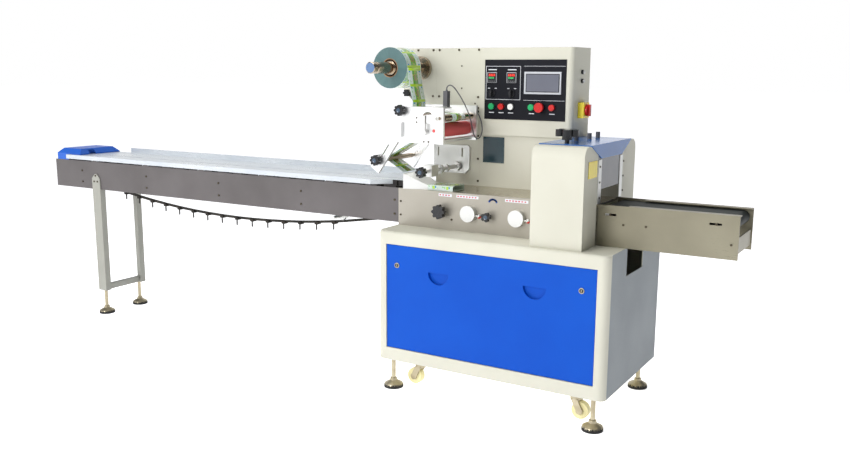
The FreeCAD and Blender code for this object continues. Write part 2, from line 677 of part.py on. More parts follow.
def caster_pieces(name, x, y, trail):
    """Fixing plate, fork with its axle, and wheel of one caster."""
    plate_low = D.cabinet_under - D.caster_plate
    half = D.caster_tread / 2 + D.caster_gap
    outer = half + D.fork_sheet
    axle_level = D.caster_lift + D.caster_wheel
    axle_x = x + trail
    crown_low = D.caster_lift + D.caster_wheel * 2 + D.caster_gap
    crown = rod(f"{name}_crown", "z", outer, (crown_low, plate_low - SEAT), (x, y))
    pieces = [crown]
    for side, near in (("front", y - outer), ("back", y + half)):
        cheek = rod(f"{name}_cheek_{side}", "y", D.caster_axle * 2.4, (near, near + D.fork_sheet),
                    (axle_x, axle_level))
        strap_half = outer * 0.62
        strap, _ = profile(f"{name}_strap_{side}", "XZ_Plane", D.fork_sheet, [[
            (outer - strap_half, crown_low - axle_level + 6),
            (outer + trail - D.caster_axle * 2.3, 0),
            (outer + trail + D.caster_axle * 2.3, 0),
            (outer + strap_half, crown_low - axle_level + 6),
        ]])
        place(strap, x - outer, near + D.fork_sheet, axle_level)
        pieces += [cheek, strap]
    axle = rod(f"{name}_axle", "y", D.caster_axle, (y - outer, y + outer), (axle_x, axle_level))
    fork = fuse(f"{name}_fork", *pieces, axle)
    tyre = rod(f"{name}_tyre", "y", D.caster_wheel, (y - D.caster_tread / 2, y + D.caster_tread / 2),
               (axle_x, axle_level))
    bore = rod(f"{name}_bore", "y", D.caster_axle + D.pin_play, (y - outer, y + outer), (axle_x, axle_level))
    wheel = cut(f"{name}_wheel", tyre, bore)
    plate = block(f"{name}_plate", (x - outer * 1.3, x + outer * 1.3), (y - outer * 1.5, y + outer * 1.5),
                  (plate_low, D.cabinet_under))
    return plate, fork, wheel


def casters():
    """Four transport casters; the front two swivel and roll."""
    plates = []
    rear = []
    for end, x, trail in (("left", START + D.caster_along, -D.caster_trail),
                          ("right", FINISH - D.caster_along, D.caster_trail)):
        plate, fork, wheel = caster_pieces(f"caster_{end}", x, FRONT + D.caster_deep, trail)
        node(f"caster_fork_{end}", fork)
        node(f"caster_wheel_{end}", wheel)
        rear_plate, rear_fork, rear_wheel = caster_pieces(f"rear_{end}", x, BACK - D.caster_deep, trail)
        plates += [plate, rear_plate]
        rear += [rear_fork, rear_wheel]
    node("rear_casters", join("rear_casters", *plates, *rear))


# ---------------------------------------------------------------- infeed

def infeed_body():
    """Side plates, slotted table with its back rail, and the end cover."""
    sides = []
    for name, near in (("front", SIDE_FRONT), ("back", SIDE_BACK - D.side_sheet)):
        sides.append(block(f"infeed_side_{name}", (INFEED_END, START), (near, near + D.side_sheet),
                           (D.side_under, D.deck_level)))
    gap = SEAT + D.side_sheet
    sides.append(block("infeed_end_plate", (INFEED_END, INFEED_END + D.side_sheet),
                       (SIDE_FRONT + gap, SIDE_BACK - gap), (D.side_under, D.deck_level - 1)))
    node("infeed_sides", join("infeed_sides", *sides))

    under = D.table_level - D.table_sheet
    table_front = SIDE_FRONT - D.table_overhang
    table_left = INFEED_END + D.table_start
    reach = START - table_left
    taper_start = reach - D.table_taper_start
    taper_end = reach - D.table_taper_end
    slot_near = LINE - D.slot_width / 2
    slot_far = LINE + D.slot_width / 2
    front, _ = profile("table_front", "XY_Plane", D.table_sheet, [[
        (0, 0),
        (taper_start, 0),
        (taper_end, D.table_taper),
        (reach, D.table_taper),
        (reach, slot_near - table_front),
        (0, slot_near - table_front),
    ]])
    place(front, table_left, table_front, under)
    slant, _ = profile("table_lip_slant", "XY_Plane", D.table_lip - D.table_sheet, [[
        (taper_start, 0),
        (taper_end, D.table_taper),
        (taper_end - D.table_sheet, D.table_taper),
        (taper_start - D.table_sheet, D.table_sheet),
    ]])
    place(slant, table_left, table_front, D.table_level - D.table_lip)
    lip = block("table_lip_front", (table_left, table_left + taper_start),
                (table_front, table_front + D.table_sheet),
                (D.table_level - D.table_lip, under))
    back = block("table_back", (table_left, START), (slot_far, SIDE_BACK), (under, D.table_level))
    rail = block("infeed_back_rail", (INFEED_END + D.rail_start, START),
                 (SIDE_BACK, SIDE_BACK + D.table_sheet),
                 (D.deck_level + 6, D.table_level + D.rail_height))
    ribs = []
    stations = 5
    for index in range(stations):
        x = table_left + D.hood_length + (reach - D.hood_length) * (index / stations)
        for side, near, far in (("front", SIDE_FRONT, SIDE_FRONT + 12), ("back", SIDE_BACK - 12, SIDE_BACK)):
            ribs.append(block(f"table_seat_{side}_{index}", (x, x + 40), (near, far), (D.deck_level, under)))
    front_seats = [rib for rib in ribs if "front" in rib.Name]
    back_seats = [rib for rib in ribs if "back" in rib.Name]
    node("infeed_table", join("infeed_table",
                              fuse("table_front_all", front, lip, slant, *front_seats),
                              fuse("table_back_all", back, rail, *back_seats)))
    infeed_hood()


def infeed_hood():
    """Bevelled sheet cover over the tail sprocket, open below, with a slot for the pushers."""
    left = INFEED_END + D.hood_inset
    depth = D.infeed_width
    solids = []
    for name, shell in (("outer", 0), ("inner", D.table_sheet)):
        foot = D.hood_height - D.hood_bevel
        base = block(f"hood_{name}_base", (left + shell, left + D.hood_length - shell),
                     (SIDE_FRONT + shell, SIDE_BACK - shell), (D.deck_level - shell, D.deck_level + foot))
        body = DOC.addObject("PartDesign::Body", f"hood_{name}_cap")
        lower = attached_sketch(body, "XY_Plane", f"hood_{name}_lower")
        long = D.hood_length - 2 * shell
        wide = depth - 2 * shell
        bevel = D.hood_bevel
        outline(lower, [(0, 0), (long, 0), (long, wide), (0, wide)])
        upper = attached_sketch(body, "XY_Plane", f"hood_{name}_upper")
        outline(upper, [(bevel, bevel), (long - bevel, bevel), (long - bevel, wide - bevel), (bevel, wide - bevel)])
        upper.setExpression("AttachmentOffset.Base.z", Size.of(bevel - shell).text)
        loft = body.newObject("PartDesign::AdditiveLoft", f"hood_{name}_loft")
        loft.Profile = lower
        loft.Sections = [upper]
        loft.Ruled = True
        place(body, left + shell, SIDE_FRONT + shell, D.deck_level + foot)
        solids.append(fuse(f"hood_{name}", base, body))
    slot = block("hood_slot", (left + D.hood_length - 20, left + D.hood_length + 20),
                 (LINE - D.slot_width * 1.3, LINE + D.slot_width * 1.3),
                 (D.table_level, D.table_level + D.rail_height))
    table = block("hood_table", (INFEED_END + D.table_start, left + D.hood_length + 1),
                  (SIDE_FRONT - 1, SIDE_BACK + 1), (D.deck_level - D.table_lip, D.table_level))
    node("infeed_end_cover", cut("infeed_end_cover", solids[0], solids[1], slot, table))


def stand():
    """Two angle legs with a cross-bar, on levelling feet."""
    middle = INFEED_END + D.stand_setin
    left = middle - D.stand_width / 2
    width = D.stand_width
    top = D.side_under + D.stand_lap
    low = D.stand_under
    point = D.stand_point
    pieces = []
    for name, face, inward in (("front", SIDE_FRONT - D.stand_sheet, 1), ("back", SIDE_BACK, -1)):
        face_sheet, _ = profile(f"stand_face_{name}", "XZ_Plane", D.stand_sheet, [[
            (0, 0),
            (width, 0),
            (width, top - low - point),
            (width - point, top - low),
            (point, top - low),
            (0, top - low - point),
        ]])
        place(face_sheet, left, face + D.stand_sheet, low)
        near = face if inward > 0 else face + D.stand_sheet - D.stand_flange
        flange = block(f"stand_flange_{name}", (left + width - D.stand_sheet, left + width),
                       (near, near + D.stand_flange), (low, D.side_under - 1))
        pieces += [face_sheet, flange]
    bar = block("stand_bar", (middle - D.stand_bar / 2, middle + D.stand_bar / 2),
                (SIDE_FRONT, SIDE_BACK), (low, low + D.stand_bar))
    node("stand_frame", fuse("stand_frame", *pieces, bar))


def chain_path():
    """Middle line of the chain, as (x, z) points: top run, sprockets and the hanging return run."""
    half = D.chain_height.value / 2
    radius = D.sprocket_radius.value + half
    level = D.sprocket_level.value
    start = START.value
    tail = INFEED_END.value + D.tail_setin.value
    head = start + D.head_setin.value
    low_x = start - D.chain_sag_middle.value
    guide = start - D.guide_setin.value
    points = []
    turns = 16
    for index in range(turns + 1):
        angle = math.pi / 2 + math.pi * index / turns
        points.append((tail + radius * math.cos(angle), level + radius * math.sin(angle)))
    pitch = D.pusher_pitch.value
    count = int((guide - tail) / pitch)
    for index in range(count, 0, -1):
        x = guide - (index - 0.5) * pitch
        drop = D.chain_sag_low.value + (x - low_x) ** 2 / (2 * D.chain_sag_radius.value)
        if drop < level - radius:
            points.append((x, drop))
    points.append((guide, D.chain_sag_low.value + (guide - low_x) ** 2 / (2 * D.chain_sag_radius.value)))
    for index in range(turns + 1):
        angle = -math.pi / 2 + math.pi * index / turns
        points.append((head + radius * math.cos(angle), level + radius * math.sin(angle)))
    return points


def ribbon(points, thick, near, far, closed=False):
    """A strip of even thickness along a path in the XZ plane, between two Y faces."""
    count = len(points)
    sides = ([], [])
    for index, (x, z) in enumerate(points):
        before = points[index - 1] if index or closed else None
        after = points[(index + 1) % count] if index < count - 1 or closed else None
        normals = []
        for a, b in ((before, (x, z)), ((x, z), after)):
            if a is None or b is None:
                continue
            run = math.hypot(b[0] - a[0], b[1] - a[1])
            normals.append((-(b[1] - a[1]) / run, (b[0] - a[0]) / run))
        nx = sum(n[0] for n in normals) / len(normals)
        nz = sum(n[1] for n in normals) / len(normals)
        scale = thick / 2 / (nx * nx + nz * nz)
        sides[0].append(Vector(x + nx * scale, near, z + nz * scale))
        sides[1].append(Vector(x - nx * scale, near, z - nz * scale))
    if closed:
        loops = [Part.makePolygon(side + side[:1]) for side in sides]
        faces = [Part.Face(loop) for loop in loops]
        faces.sort(key=lambda face: face.Area)
        flat = faces[1].cut(faces[0])
    else:
        flat = Part.Face(Part.makePolygon(sides[0] + sides[1][::-1] + sides[0][:1]))
    return flat.extrude(Vector(0, far - near, 0))


def pusher_chain():
    """The endless pusher chain with its carriers and fingers; its sag follows an arc."""
    near = (LINE - D.chain_width / 2).value
    far = (LINE + D.chain_width / 2).value
    path = chain_path()
    solid = ribbon(path, D.chain_height.value, near, far, closed=True)
    line = LINE.value
    half = D.pusher_block.value / 2
    start = START.value
    low_x = start - D.chain_sag_middle.value
    guide = start - D.guide_setin.value
    carriers = []
    pitch = D.pusher_pitch.value
    run_low = D.sprocket_level.value + D.sprocket_radius.value
    x = start - pitch / 2
    while x > INFEED_END.value + D.tail_setin.value:
        carrier = Part.makeBox(2 * half, far - near + 14, D.chain_height.value * 1.8,
                               Vector(x - half, near - 7, run_low + 4))
        finger = Part.makeBox(2 * D.pusher_rod.value, 2 * D.pusher_rod.value, D.pusher_reach.value,
                              Vector(x - half, line - D.pusher_rod.value, run_low + 14))
        carriers += [carrier, finger]
        x -= pitch
    leg = INFEED_END.value + D.stand_setin.value + D.stand_width.value
    x = guide - pitch / 2
    while x > leg:
        z = D.chain_sag_low.value + (x - low_x) ** 2 / (2 * D.chain_sag_radius.value)
        top = z + D.chain_height.value * 0.2
        low = z - D.chain_height.value
        carrier = Part.makeBox(2 * half, far - near + 14, top - low, Vector(x - half, near - 7, low))
        finger = Part.makeBox(2 * D.pusher_rod.value, 2 * D.pusher_rod.value, D.pusher_reach.value,
                              Vector(x - half, line - D.pusher_rod.value, low - D.pusher_reach.value + 1))
        carriers += [carrier, finger]
        x -= pitch
    chain = DOC.addObject("Part::Feature", "pusher_chain")
    chain.Shape = solid.multiFuse(carriers)
    chain.Placement = Placement()
    node("pusher_chain", chain)


def chain_sprockets():
    """Tail and head sprockets and the guide roller, each on its shaft between the side plates."""
    inner = (SIDE_FRONT + D.side_sheet, SIDE_BACK - D.side_sheet)
    spots = (
        ("tail", INFEED_END + D.tail_setin, D.sprocket_level, D.sprocket_radius - SEAT * 2),
        ("head", START + D.head_setin, D.sprocket_level, D.sprocket_radius - SEAT * 2),
    )
    wheels = []
    for name, x, z, radius in spots:
        disc = rod(f"sprocket_{name}", "y", radius, (LINE - D.chain_width, LINE + D.chain_width), (x, z))
        ends = inner if name == "tail" else (SIDE_FRONT + D.bed_plate, PLATE_FACE - D.bed_plate)
        shaft = rod(f"sprocket_shaft_{name}", "y", D.bar_radius, ends, (x, z))
        wheels.append(fuse(f"sprocket_all_{name}", disc, shaft))
    guide = START - D.guide_setin
    reach = D.chain_sag_middle - D.guide_setin
    chain_level = D.chain_sag_low + reach * reach / (2 * D.chain_sag_radius)
    z = chain_level + D.chain_height / 2 + D.guide_radius + 1
    roller = rod("chain_roller", "y", D.guide_radius, (LINE - D.chain_width, LINE + D.chain_width), (guide, z))
    pin = rod("guide_pin", "y", D.bar_radius, inner, (guide, z))
    wheels.append(fuse("guide_all", roller, pin))
    node("chain_sprockets", join("chain_sprockets", *wheels))


# ---------------------------------------------------------------- bed

def bed():
    """Front, top and back plates of the bed on the cabinet."""
    low = D.cabinet_top
    thick = D.bed_plate
    front = block("bed_front_plate", (START, BED_END), (SIDE_FRONT, SIDE_FRONT + thick), (low, D.deck_level))
    node("bed_front_plate", front)
    top = block("bed_top_sheet", (START + D.former_start, GUARD_RIGHT), (SIDE_FRONT + thick, PLATE_FACE),
                (D.deck_level - thick, D.deck_level))
    back = block("bed_back", (START, BED_END), (PLATE_FACE - thick, PLATE_FACE), (low, D.deck_level - thick))
    node("bed_top", fuse("bed_top_all", top, back))


def bed_controls():
    """Handwheel and two sealing levers on the front of the bed."""
    face = SIDE_FRONT
    level = D.control_level
    x = START + D.wheel_setin
    stem = rod("handwheel_stem", "y", D.wheel_radius * 0.36, (face - 22, face - SEAT), (x, level))
    head = lobed("handwheel_head", "y", D.wheel_radius, (face - 44, face - 22), (x, level), 8, 0.22)
    node("bed_handwheel", fuse("bed_handwheel", head, stem))
    for name, setin in (("left", D.lever_one), ("right", D.lever_two)):
        x = START + setin
        disc = rod(f"dial_{name}", "y", D.dial_radius, (face - D.dial_thick, face - SEAT), (x, level))
        arm_y = face - D.dial_thick / 2
        arm = rod(f"dial_arm_{name}", "x", 4, (x, x + D.lever_reach), (arm_y, level - 6))
        knob = ball(f"dial_ball_{name}", D.lever_ball, (x + D.lever_reach, arm_y, level - 6))
        node(f"sealing_lever_{name}", fuse(f"sealing_lever_{name}", disc, arm, knob))


def clamp_knobs():
    """Clamp knobs on the feeder, the guide shaft and the bed."""
    face = FRONT + D.feeder_setback
    spots = (
        ("upper", START + D.head_knob_along, D.head_knob_level, face),
        ("arm", START - D.idler_along, D.idler_level, face),
        ("guide", START + D.shaft_along, D.shaft_level, FRONT + D.guide_front),
    )
    for name, x, z, seat in spots:
        neck = seat - D.stem_length
        head = lobed(f"knob_{name}", "y", D.knob_radius, (neck - D.knob_thick, neck), (x, z), 8, 0.24)
        stem = rod(f"knob_stem_{name}", "y", D.knob_radius * 0.4, (neck, seat - SEAT), (x, z))
        node(f"clamp_knob_{name}", fuse(f"clamp_knob_{name}", head, stem))
    face = SIDE_FRONT
    x = START + D.star_setin
    head = lobed("knob_star", "y", D.star_radius, (face - 40, face - 22), (x, D.control_level - 4), 5, 0.36)
    stem = rod("knob_stem_star", "y", D.star_radius * 0.4, (face - 22, face - SEAT), (x, D.control_level - 4))
    node("bed_star_knob", fuse("bed_star_knob", head, stem))


# ---------------------------------------------------------------- film head

def film_plates():
    """The two bolted plates that carry the film, and the column behind them."""
    left = START - D.plate_left
    seam = START + D.plate_seam
    width = seam - left
    high = D.plate_top - D.wing_under
    wing, _ = profile("film_wing", "XZ_Plane", D.plate_thick, [[
        (D.wing_cut_along, 0),
        (width, 0),
        (width, high),
        (0, high),
        (0, D.wing_cut_up),
    ]])
    place(wing, left, PLATE_FACE + D.plate_thick, D.wing_under)
    main = block("film_main", (seam + SEAT, BOX_LEFT), (PLATE_FACE, PLATE_FACE + D.plate_thick),
                 (D.deck_level, D.plate_top))
    near = PLATE_FACE + D.plate_thick
    inset = D.column_inset
    column, _ = profile("film_column", "XZ_Plane", D.column_depth, [[
        (inset * 2 + width, 0),
        (BOX_LEFT - left, 0),
        (BOX_LEFT - left, D.plate_top - D.deck_level),
        (inset * 3, D.plate_top - D.deck_level),
        (inset * 3, D.wing_under - D.deck_level + inset * 3),
        (inset * 2 + width, D.wing_under - D.deck_level + inset),
    ]])
    place(column, left, near + D.column_depth, D.deck_level)
    node("film_plates", join("film_plates", wing, main, column))


def film_spindle():
    """Spindle with its flange, and the film roll on it."""
    x = START - D.roll_along
    z = D.roll_level
    tip = FRONT + D.spindle_setback
    roll_near = FRONT + D.roll_setback
    roll_far = roll_near + D.roll_width
    flange_far = PLATE_FACE - SEAT
    flange_near = flange_far - D.collar_thick
    spindle = turned("spindle_turned", [
        (0, 0),
        (D.spindle_radius - 3, 0),
        (D.spindle_radius, 3),
        (D.spindle_radius, 22),
        (D.spindle_radius - 4, 24),
        (D.spindle_radius - 4, 34),
        (D.spindle_radius, 36),
        (D.spindle_radius, roll_near - tip),
        (D.core_radius - SEAT, roll_near - tip),
        (D.core_radius - SEAT, roll_far - tip),
        (D.collar_radius * 0.84, roll_far - tip + 1),
        (D.collar_radius * 0.84, roll_far - tip + 24),
        (D.spindle_radius, roll_far - tip + 26),
        (D.spindle_radius, flange_near - tip),
        (D.collar_radius, flange_near - tip + 2),
        (D.collar_radius, flange_far - tip),
        (0, flange_far - tip),
    ], (x, tip, z), AXES["y"])
    node("film_spindle", spindle)
    outer = rod("roll_outer", "y", D.roll_radius, (roll_near, roll_far), (x, z))
    bore = rod("roll_bore", "y", D.core_radius, (roll_near - 1, roll_far + 1), (x, z))
    node("film_roll", cut("film_roll", outer, bore))


def feeder():
    """Two side plates with slanted arms, joined by tie bars, and three rollers between them."""
    left = START - D.feeder_arm
    low = D.feeder_tip
    arm = D.feeder_arm

    def at(along, level):
        """A point of the plate from its place on the machine."""
        return along + arm, level - low

    spots = [
        at(-D.arm_foot, D.feeder_tip),
        at(D.arm_root, D.feeder_under),
        at(D.feeder_right, D.feeder_under),
        at(D.feeder_right, D.feeder_top),
        at(D.feeder_left, D.feeder_top),
        at(D.arm_shoulder_along, D.arm_shoulder),
        at(D.arm_hip_along, D.arm_hip),
        at(-D.arm_knee_along, D.arm_knee),
        at(-arm, D.feeder_tip + D.arm_heel),
    ]
    slot = [
        at(-D.arm_slot_low_along - D.arm_slot_along, D.arm_slot_low + D.arm_slot_up),
        at(D.arm_slot_along - D.arm_slot_low_along, D.arm_slot_low - D.arm_slot_up),
        at(D.arm_slot_high_along + D.arm_slot_along, D.arm_slot_high - D.arm_slot_up),
        at(D.arm_slot_high_along - D.arm_slot_along, D.arm_slot_high + D.arm_slot_up),
    ]
    rollers = (
        ("feed_roller", D.feed_along, D.feed_level, D.feed_radius),
        ("guide_roller", D.guide_roller_along, D.guide_roller_level, D.guide_roller_radius),
        ("idler_roller", -D.idler_along, D.idler_level, D.idler_radius),
    )
    near = FRONT + D.feeder_setback
    pockets = [(at(x, z), D.journal_radius + D.pin_play) for _, x, z, _ in rollers]
    sight = [(at(D.sight_along, D.sight_level), D.sight_radius)]
    pieces = []
    for name, face, holes in (("front", near, pockets + sight), ("back", near + D.feeder_depth, pockets)):
        plate, _ = profile(f"feeder_plate_{name}", "XZ_Plane", D.feeder_plate, [spots, slot], holes)
        place(plate, left, face + D.feeder_plate, low)
        pieces.append(plate)
    inner = (near + D.feeder_plate, near + D.feeder_depth)
    ties = (
        ("upper", D.tie_upper_along, D.tie_upper_level),
        ("lower", D.tie_lower_along, D.tie_lower_level),
        ("right", D.tie_right_along, D.tie_right_level),
    )
    for name, x, z in ties:
        pieces.append(rod(f"tie_{name}", "y", D.bar_radius, inner, (START + x, z)))
    behind = (near + D.feeder_depth + D.feeder_plate, PLATE_FACE)
    for name, x, z in (("one", D.stay_one_along, D.stay_one_level), ("two", D.stay_two_along, D.stay_two_level)):
        pieces.append(rod(f"stay_{name}", "y", D.bar_radius * 1.6, behind, (START + x, z)))
    pieces.append(block("feeder_flange", (START + D.flange_left, START + D.feeder_right),
                        (inner[0], near + D.flange_depth),
                        (D.feeder_top - D.visor_sheet, D.feeder_top)))
    pieces.append(block("sensor_tongue",
                        (START + D.sensor_along - D.sensor_width / 2, START + D.sensor_along + D.sensor_width / 2),
                        (near + D.flange_depth, FRONT + D.sensor_setback - D.sensor_depth / 2),
                        (D.feeder_top - D.visor_sheet, D.feeder_top)))
    pieces.append(block("feeder_block", (START + D.block_left, START + D.block_left + D.block_width),
                        (near - D.block_depth, near), (D.block_under, D.block_under + D.block_height)))
    node("feeder_frame", fuse("feeder_frame", *pieces))
    ends = (inner[0] + D.roller_end_gap, inner[1] - D.roller_end_gap)
    for name, x, z, radius in rollers:
        drum = rod(f"{name}_drum", "y", radius, ends, (START + x, z))
        journal = rod(f"{name}_journal", "y", D.journal_radius, (near, near + D.feeder_depth + D.feeder_plate),
                      (START + x, z))
        node(name, fuse(name, drum, journal))
    lever()


def lever():
    """Nip lever on the front feeder plate."""
    face = FRONT + D.feeder_setback
    x = START + D.lever_along
    z = D.lever_level
    hub = rod("nip_hub", "y", 11, (face - 26, face - SEAT), (x, z))
    arm = block("nip_arm", (x - 5, x + 5), (face - 24, face - 12), (z, z + D.nip_lever_length))
    node("nip_lever", fuse("nip_lever", hub, arm))


# The cable's turning points: after the cabinet's start, behind its front, above the floor.
CABLE_ROUTE = (
    (207, 216, 1279),
    (207, 216, 1286),
    (211, 216.5, 1293.5),
    (219, 217.5, 1298),
    (228, 218.5, 1297.5),
    (237, 221, 1291.5),
    (248, 226, 1277),
    (266, 237, 1246),
    (282, 246, 1212),
    (292, 256, 1181),
    (298, 267, 1149),
    (298, 280, 1115),
    (296, 299, 1086),
    (296, 325, 1071),
    (299, 351, 1075),
    (298, 371, 1098),
    (290, 381, 1134),
    (275, 388, 1163),
    (259, 396, 1177),
    (252, 408, 1182),
)


def film_sensor():
    """Photo-electric eye over the film, with its gland."""
    x = START + D.sensor_along
    y = FRONT + D.sensor_setback
    top = D.sensor_under + D.sensor_height
    half = D.sensor_width / 2
    deep = D.sensor_depth / 2
    eye = block("sensor_eye", (x - half, x + half), (y - deep, y + deep), (D.sensor_under, top))
    gland = rod("sensor_gland", "z", D.gland_radius * 0.75, (top, top + 5), (x, y))
    node("film_sensor", fuse("film_sensor", eye, gland))


def cable_wire(points, share=0.45):
    """Straight runs joined by tangent arcs, each as large as its two runs allow."""
    edges = []
    radii = []
    last = points[0]
    for before, corner, after in zip(points, points[1:], points[2:]):
        inward = (corner - before).normalize()
        onward = (after - corner).normalize()
        turn = inward.getAngle(onward)
        reach = share * min((corner - before).Length, (after - corner).Length)
        radius = reach / math.tan(turn / 2)
        start = corner - inward * reach
        end = corner + onward * reach
        bisector = (onward - inward).normalize()
        centre = corner + bisector * (radius / math.cos(turn / 2))
        middle = centre + (corner - centre).normalize() * radius
        edges.append(Part.LineSegment(last, start).toShape())
        edges.append(Part.Arc(start, middle, end).toShape())
        radii.append(round(radius, 1))
        last = end
    edges.append(Part.LineSegment(last, points[-1]).toShape())
    print("cable radii", radii)
    return Part.Wire(edges)


def sensor_cable():
    """The sensor's cable, looping from its gland down and back to the film plate."""
    start = START.value
    front = FRONT.value
    points = [Vector(start + x, front + y, z) for x, y, z in CABLE_ROUTE]
    wire = cable_wire(points)
    radius = D.cable_radius.value
    direction = points[1] - points[0]
    ring = Part.Wire(Part.makeCircle(radius, points[0], direction))
    tube = wire.makePipeShell([ring], True, False)
    wanted = math.pi * radius * radius * wire.Length
    if abs(tube.Volume - wanted) > 0.01 * wanted:
        raise RuntimeError(f"the cable's volume is {tube.Volume}, not {wanted}")
    print("cable length", round(wire.Length, 1))
    cable = DOC.addObject("Part::Feature", "sensor_cable")
    cable.Shape = tube
    cable.Placement = Placement()
    node("sensor_cable", cable)


def film_fittings():
    """Brake knob with its arm at the wing's corner, and the gland where the cable ends."""
    end = CABLE_ROUTE[-1]
    gland_near = FRONT + end[1] + D.cable_radius * 0.6
    gland = rod("plate_gland", "y", D.gland_radius, (gland_near, PLATE_FACE), (START + end[0], end[2]))
    x = START - D.brake_along
    z = D.brake_level
    near = PLATE_FACE - 44
    head = lobed("brake_head", "y", D.brake_radius, (near, near + 16), (x, z), 6, 0.3)
    stem = rod("brake_stem", "y", D.brake_radius * 0.4, (near + 16, PLATE_FACE - 8), (x, z))
    arm, _ = profile("brake_arm", "XZ_Plane", 8, [[
        (0, 44),
        (14, 54),
        (44, 10),
        (30, 0),
    ]])
    place(arm, x - 8, PLATE_FACE, z - 46)
    node("film_fittings", join("film_fittings", gland, fuse("brake_all", head, stem, arm)))


def guide_bracket():
    """Bracket with keyhole slots on the film plate, and the shaft it carries."""
    width = D.bracket_width
    height = D.bracket_height
    cut_off = 22
    slots = []
    for middle in (24, 146):
        slots.append([
            (middle - 4, 74),
            (middle + 4, 74),
            (middle + 4, 112),
            (middle - 4, 112),
        ])
    plate, _ = profile("guide_plate", "XZ_Plane", D.bracket_plate, [[
        (0, 0),
        (width - cut_off, 0),
        (width, cut_off),
        (width, height - 8),
        (width - 8, height),
        (0, height),
    ]] + slots)
    place(plate, START + D.bracket_left, PLATE_FACE, D.bracket_under)
    x = START + D.shaft_along
    z = D.shaft_level
    far = PLATE_FACE - D.bracket_plate
    near = FRONT + D.guide_front
    pieces = [rod("guide_rod", "y", D.shaft_radius, (near, far), (x, z))]
    for name, at, radius in (
            ("one", D.collar_one, D.collar_wide),
            ("two", D.collar_two, D.collar_wide - 2),
            ("seat", D.collar_seat, D.collar_wide + 1)):
        reach = (FRONT + at, FRONT + at + D.collar_long)
        pieces.append(rod(f"guide_collar_{name}", "y", radius, reach, (x, z)))
    block_near = FRONT + D.slide_block_near
    pieces.append(block("guide_block", (x - D.slide_block_left, x + D.slide_block_right),
                        (block_near, block_near + D.slide_block_length),
                        (z - D.slide_block_half, z + D.slide_block_half)))
    node("guide_bracket", join("guide_bracket", plate, fuse("guide_shaft", *pieces)))


def round_points(centre, radius, first, last, steps):
    """Points round a roller from one angle to another, in degrees."""
    points = []
    for index in range(steps + 1):
        angle = math.radians(first + (last - first) * index / steps)
        points.append((centre[0] + radius * math.cos(angle), centre[1] + radius * math.sin(angle)))
    return points


def film():
    """The film: a strip from the roll to the feeder, one from the feeder to the forming box, and the tube."""
    near = (FRONT + D.roll_setback + 4).value
    far = near + D.web_width.value
    roll_x = (START - D.roll_along).value
    start = START.value
    thick = D.web_thick.value
    grow = thick / 2 + SEAT
    edge = roll_x + D.roll_radius.value + grow
    guide_x = start + D.guide_roller_along.value
    guide_z = D.guide_roller_level.value
    wrap = D.guide_roller_radius.value + grow
    tie_x = start + D.tie_upper_along.value
    tie_z = D.tie_upper_level.value + D.bar_radius.value + grow
    feed_x = start + D.feed_along.value
    feed_z = D.feed_level.value
    nip = D.feed_radius.value + grow
    idler_x = start - D.idler_along.value
    idler_z = D.idler_level.value
    turn_radius = D.idler_radius.value + grow
    crossing = math.degrees(math.acos((wrap + nip) / math.hypot(guide_x - feed_x, guide_z - feed_z)))
    between = math.degrees(math.atan2(feed_z - guide_z, feed_x - guide_x))
    guide_leave = between + crossing
    away = math.hypot(idler_x - feed_x, idler_z - feed_z)
    toward = math.degrees(math.atan2(idler_z - feed_z, idler_x - feed_x)) % 360
    feed_leave = toward - math.degrees(math.acos((nip - turn_radius) / away))
    points = [
        (edge, D.roll_level.value),
        (edge + 10, tie_z + 54),
        (edge + 26, tie_z + 22),
        (tie_x - 12, tie_z + 2),
        (tie_x + 6, tie_z),
    ]
    points += round_points((guide_x, guide_z), wrap, 92, guide_leave, 16)
    points += round_points((feed_x, feed_z), nip, guide_leave + 180, feed_leave, 3)
    points += round_points((idler_x, idler_z), turn_radius, feed_leave, 231, 10)
    mouth_x = start + D.former_start.value
    mouth_z = D.deck_level.value + D.former_rise.value
    points.append((mouth_x + 2, mouth_z + 3))
    strip = ribbon(points, thick, near, far)
    web = DOC.addObject("Part::Feature", "film_web")
    web.Shape = strip
    web.Placement = Placement()
    node("film_web", web)
    x0 = START + D.former_end - 10
    x1 = START + D.tube_end
    half = D.tube_width / 2
    middle = LINE - 20
    skin = 1
    outer = block("tube_outer", (x0, x1), (middle - half, middle + half), (D.deck_level, D.deck_level + D.tube_height))
    inner = block("tube_inner", (x0 - 1, x1 + 1), (middle - half + skin, middle + half - skin),
                  (D.deck_level + skin, D.deck_level + D.tube_height - skin))
    node("film_tube", cut("film_tube", outer, inner))


def forming_box():
    """Tapered sheet tunnel that folds the flat film round the product."""
    x0 = START + D.former_start
    length = D.former_end - D.former_start - 12
    middle = LINE - 20
    solids = []
    for name, skin in (("outer", 0), ("inner", D.former_sheet)):
        body = DOC.addObject("PartDesign::Body", f"former_{name}")
        sections = []
        for place_name, wide, high, offset in (
                ("mouth", D.former_mouth, D.former_rise, 0),
                ("throat", D.former_throat, D.former_drop, length)):
            sketch = attached_sketch(body, "YZ_Plane", f"former_{name}_{place_name}")
            edge = (D.former_mouth - wide) / 2 + skin
            outline(sketch, [
                (edge, 0 if not skin else D.former_sheet),
                (edge + wide - 2 * skin, 0 if not skin else D.former_sheet),
                (edge + wide - 2 * skin, high - skin),
                (edge, high - skin),
            ])
            sketch.setExpression("AttachmentOffset.Base.z", Size.of(offset).text)
            sections.append(sketch)
        loft = body.newObject("PartDesign::AdditiveLoft", f"former_{name}_loft")
        loft.Profile = sections[0]
        loft.Sections = [sections[1]]
        loft.Ruled = True
        place(body, x0, middle - D.former_mouth / 2, D.deck_level)
        solids.append(body)
    node("forming_box", cut("forming_box", *solids))


# ---------------------------------------------------------------- control box

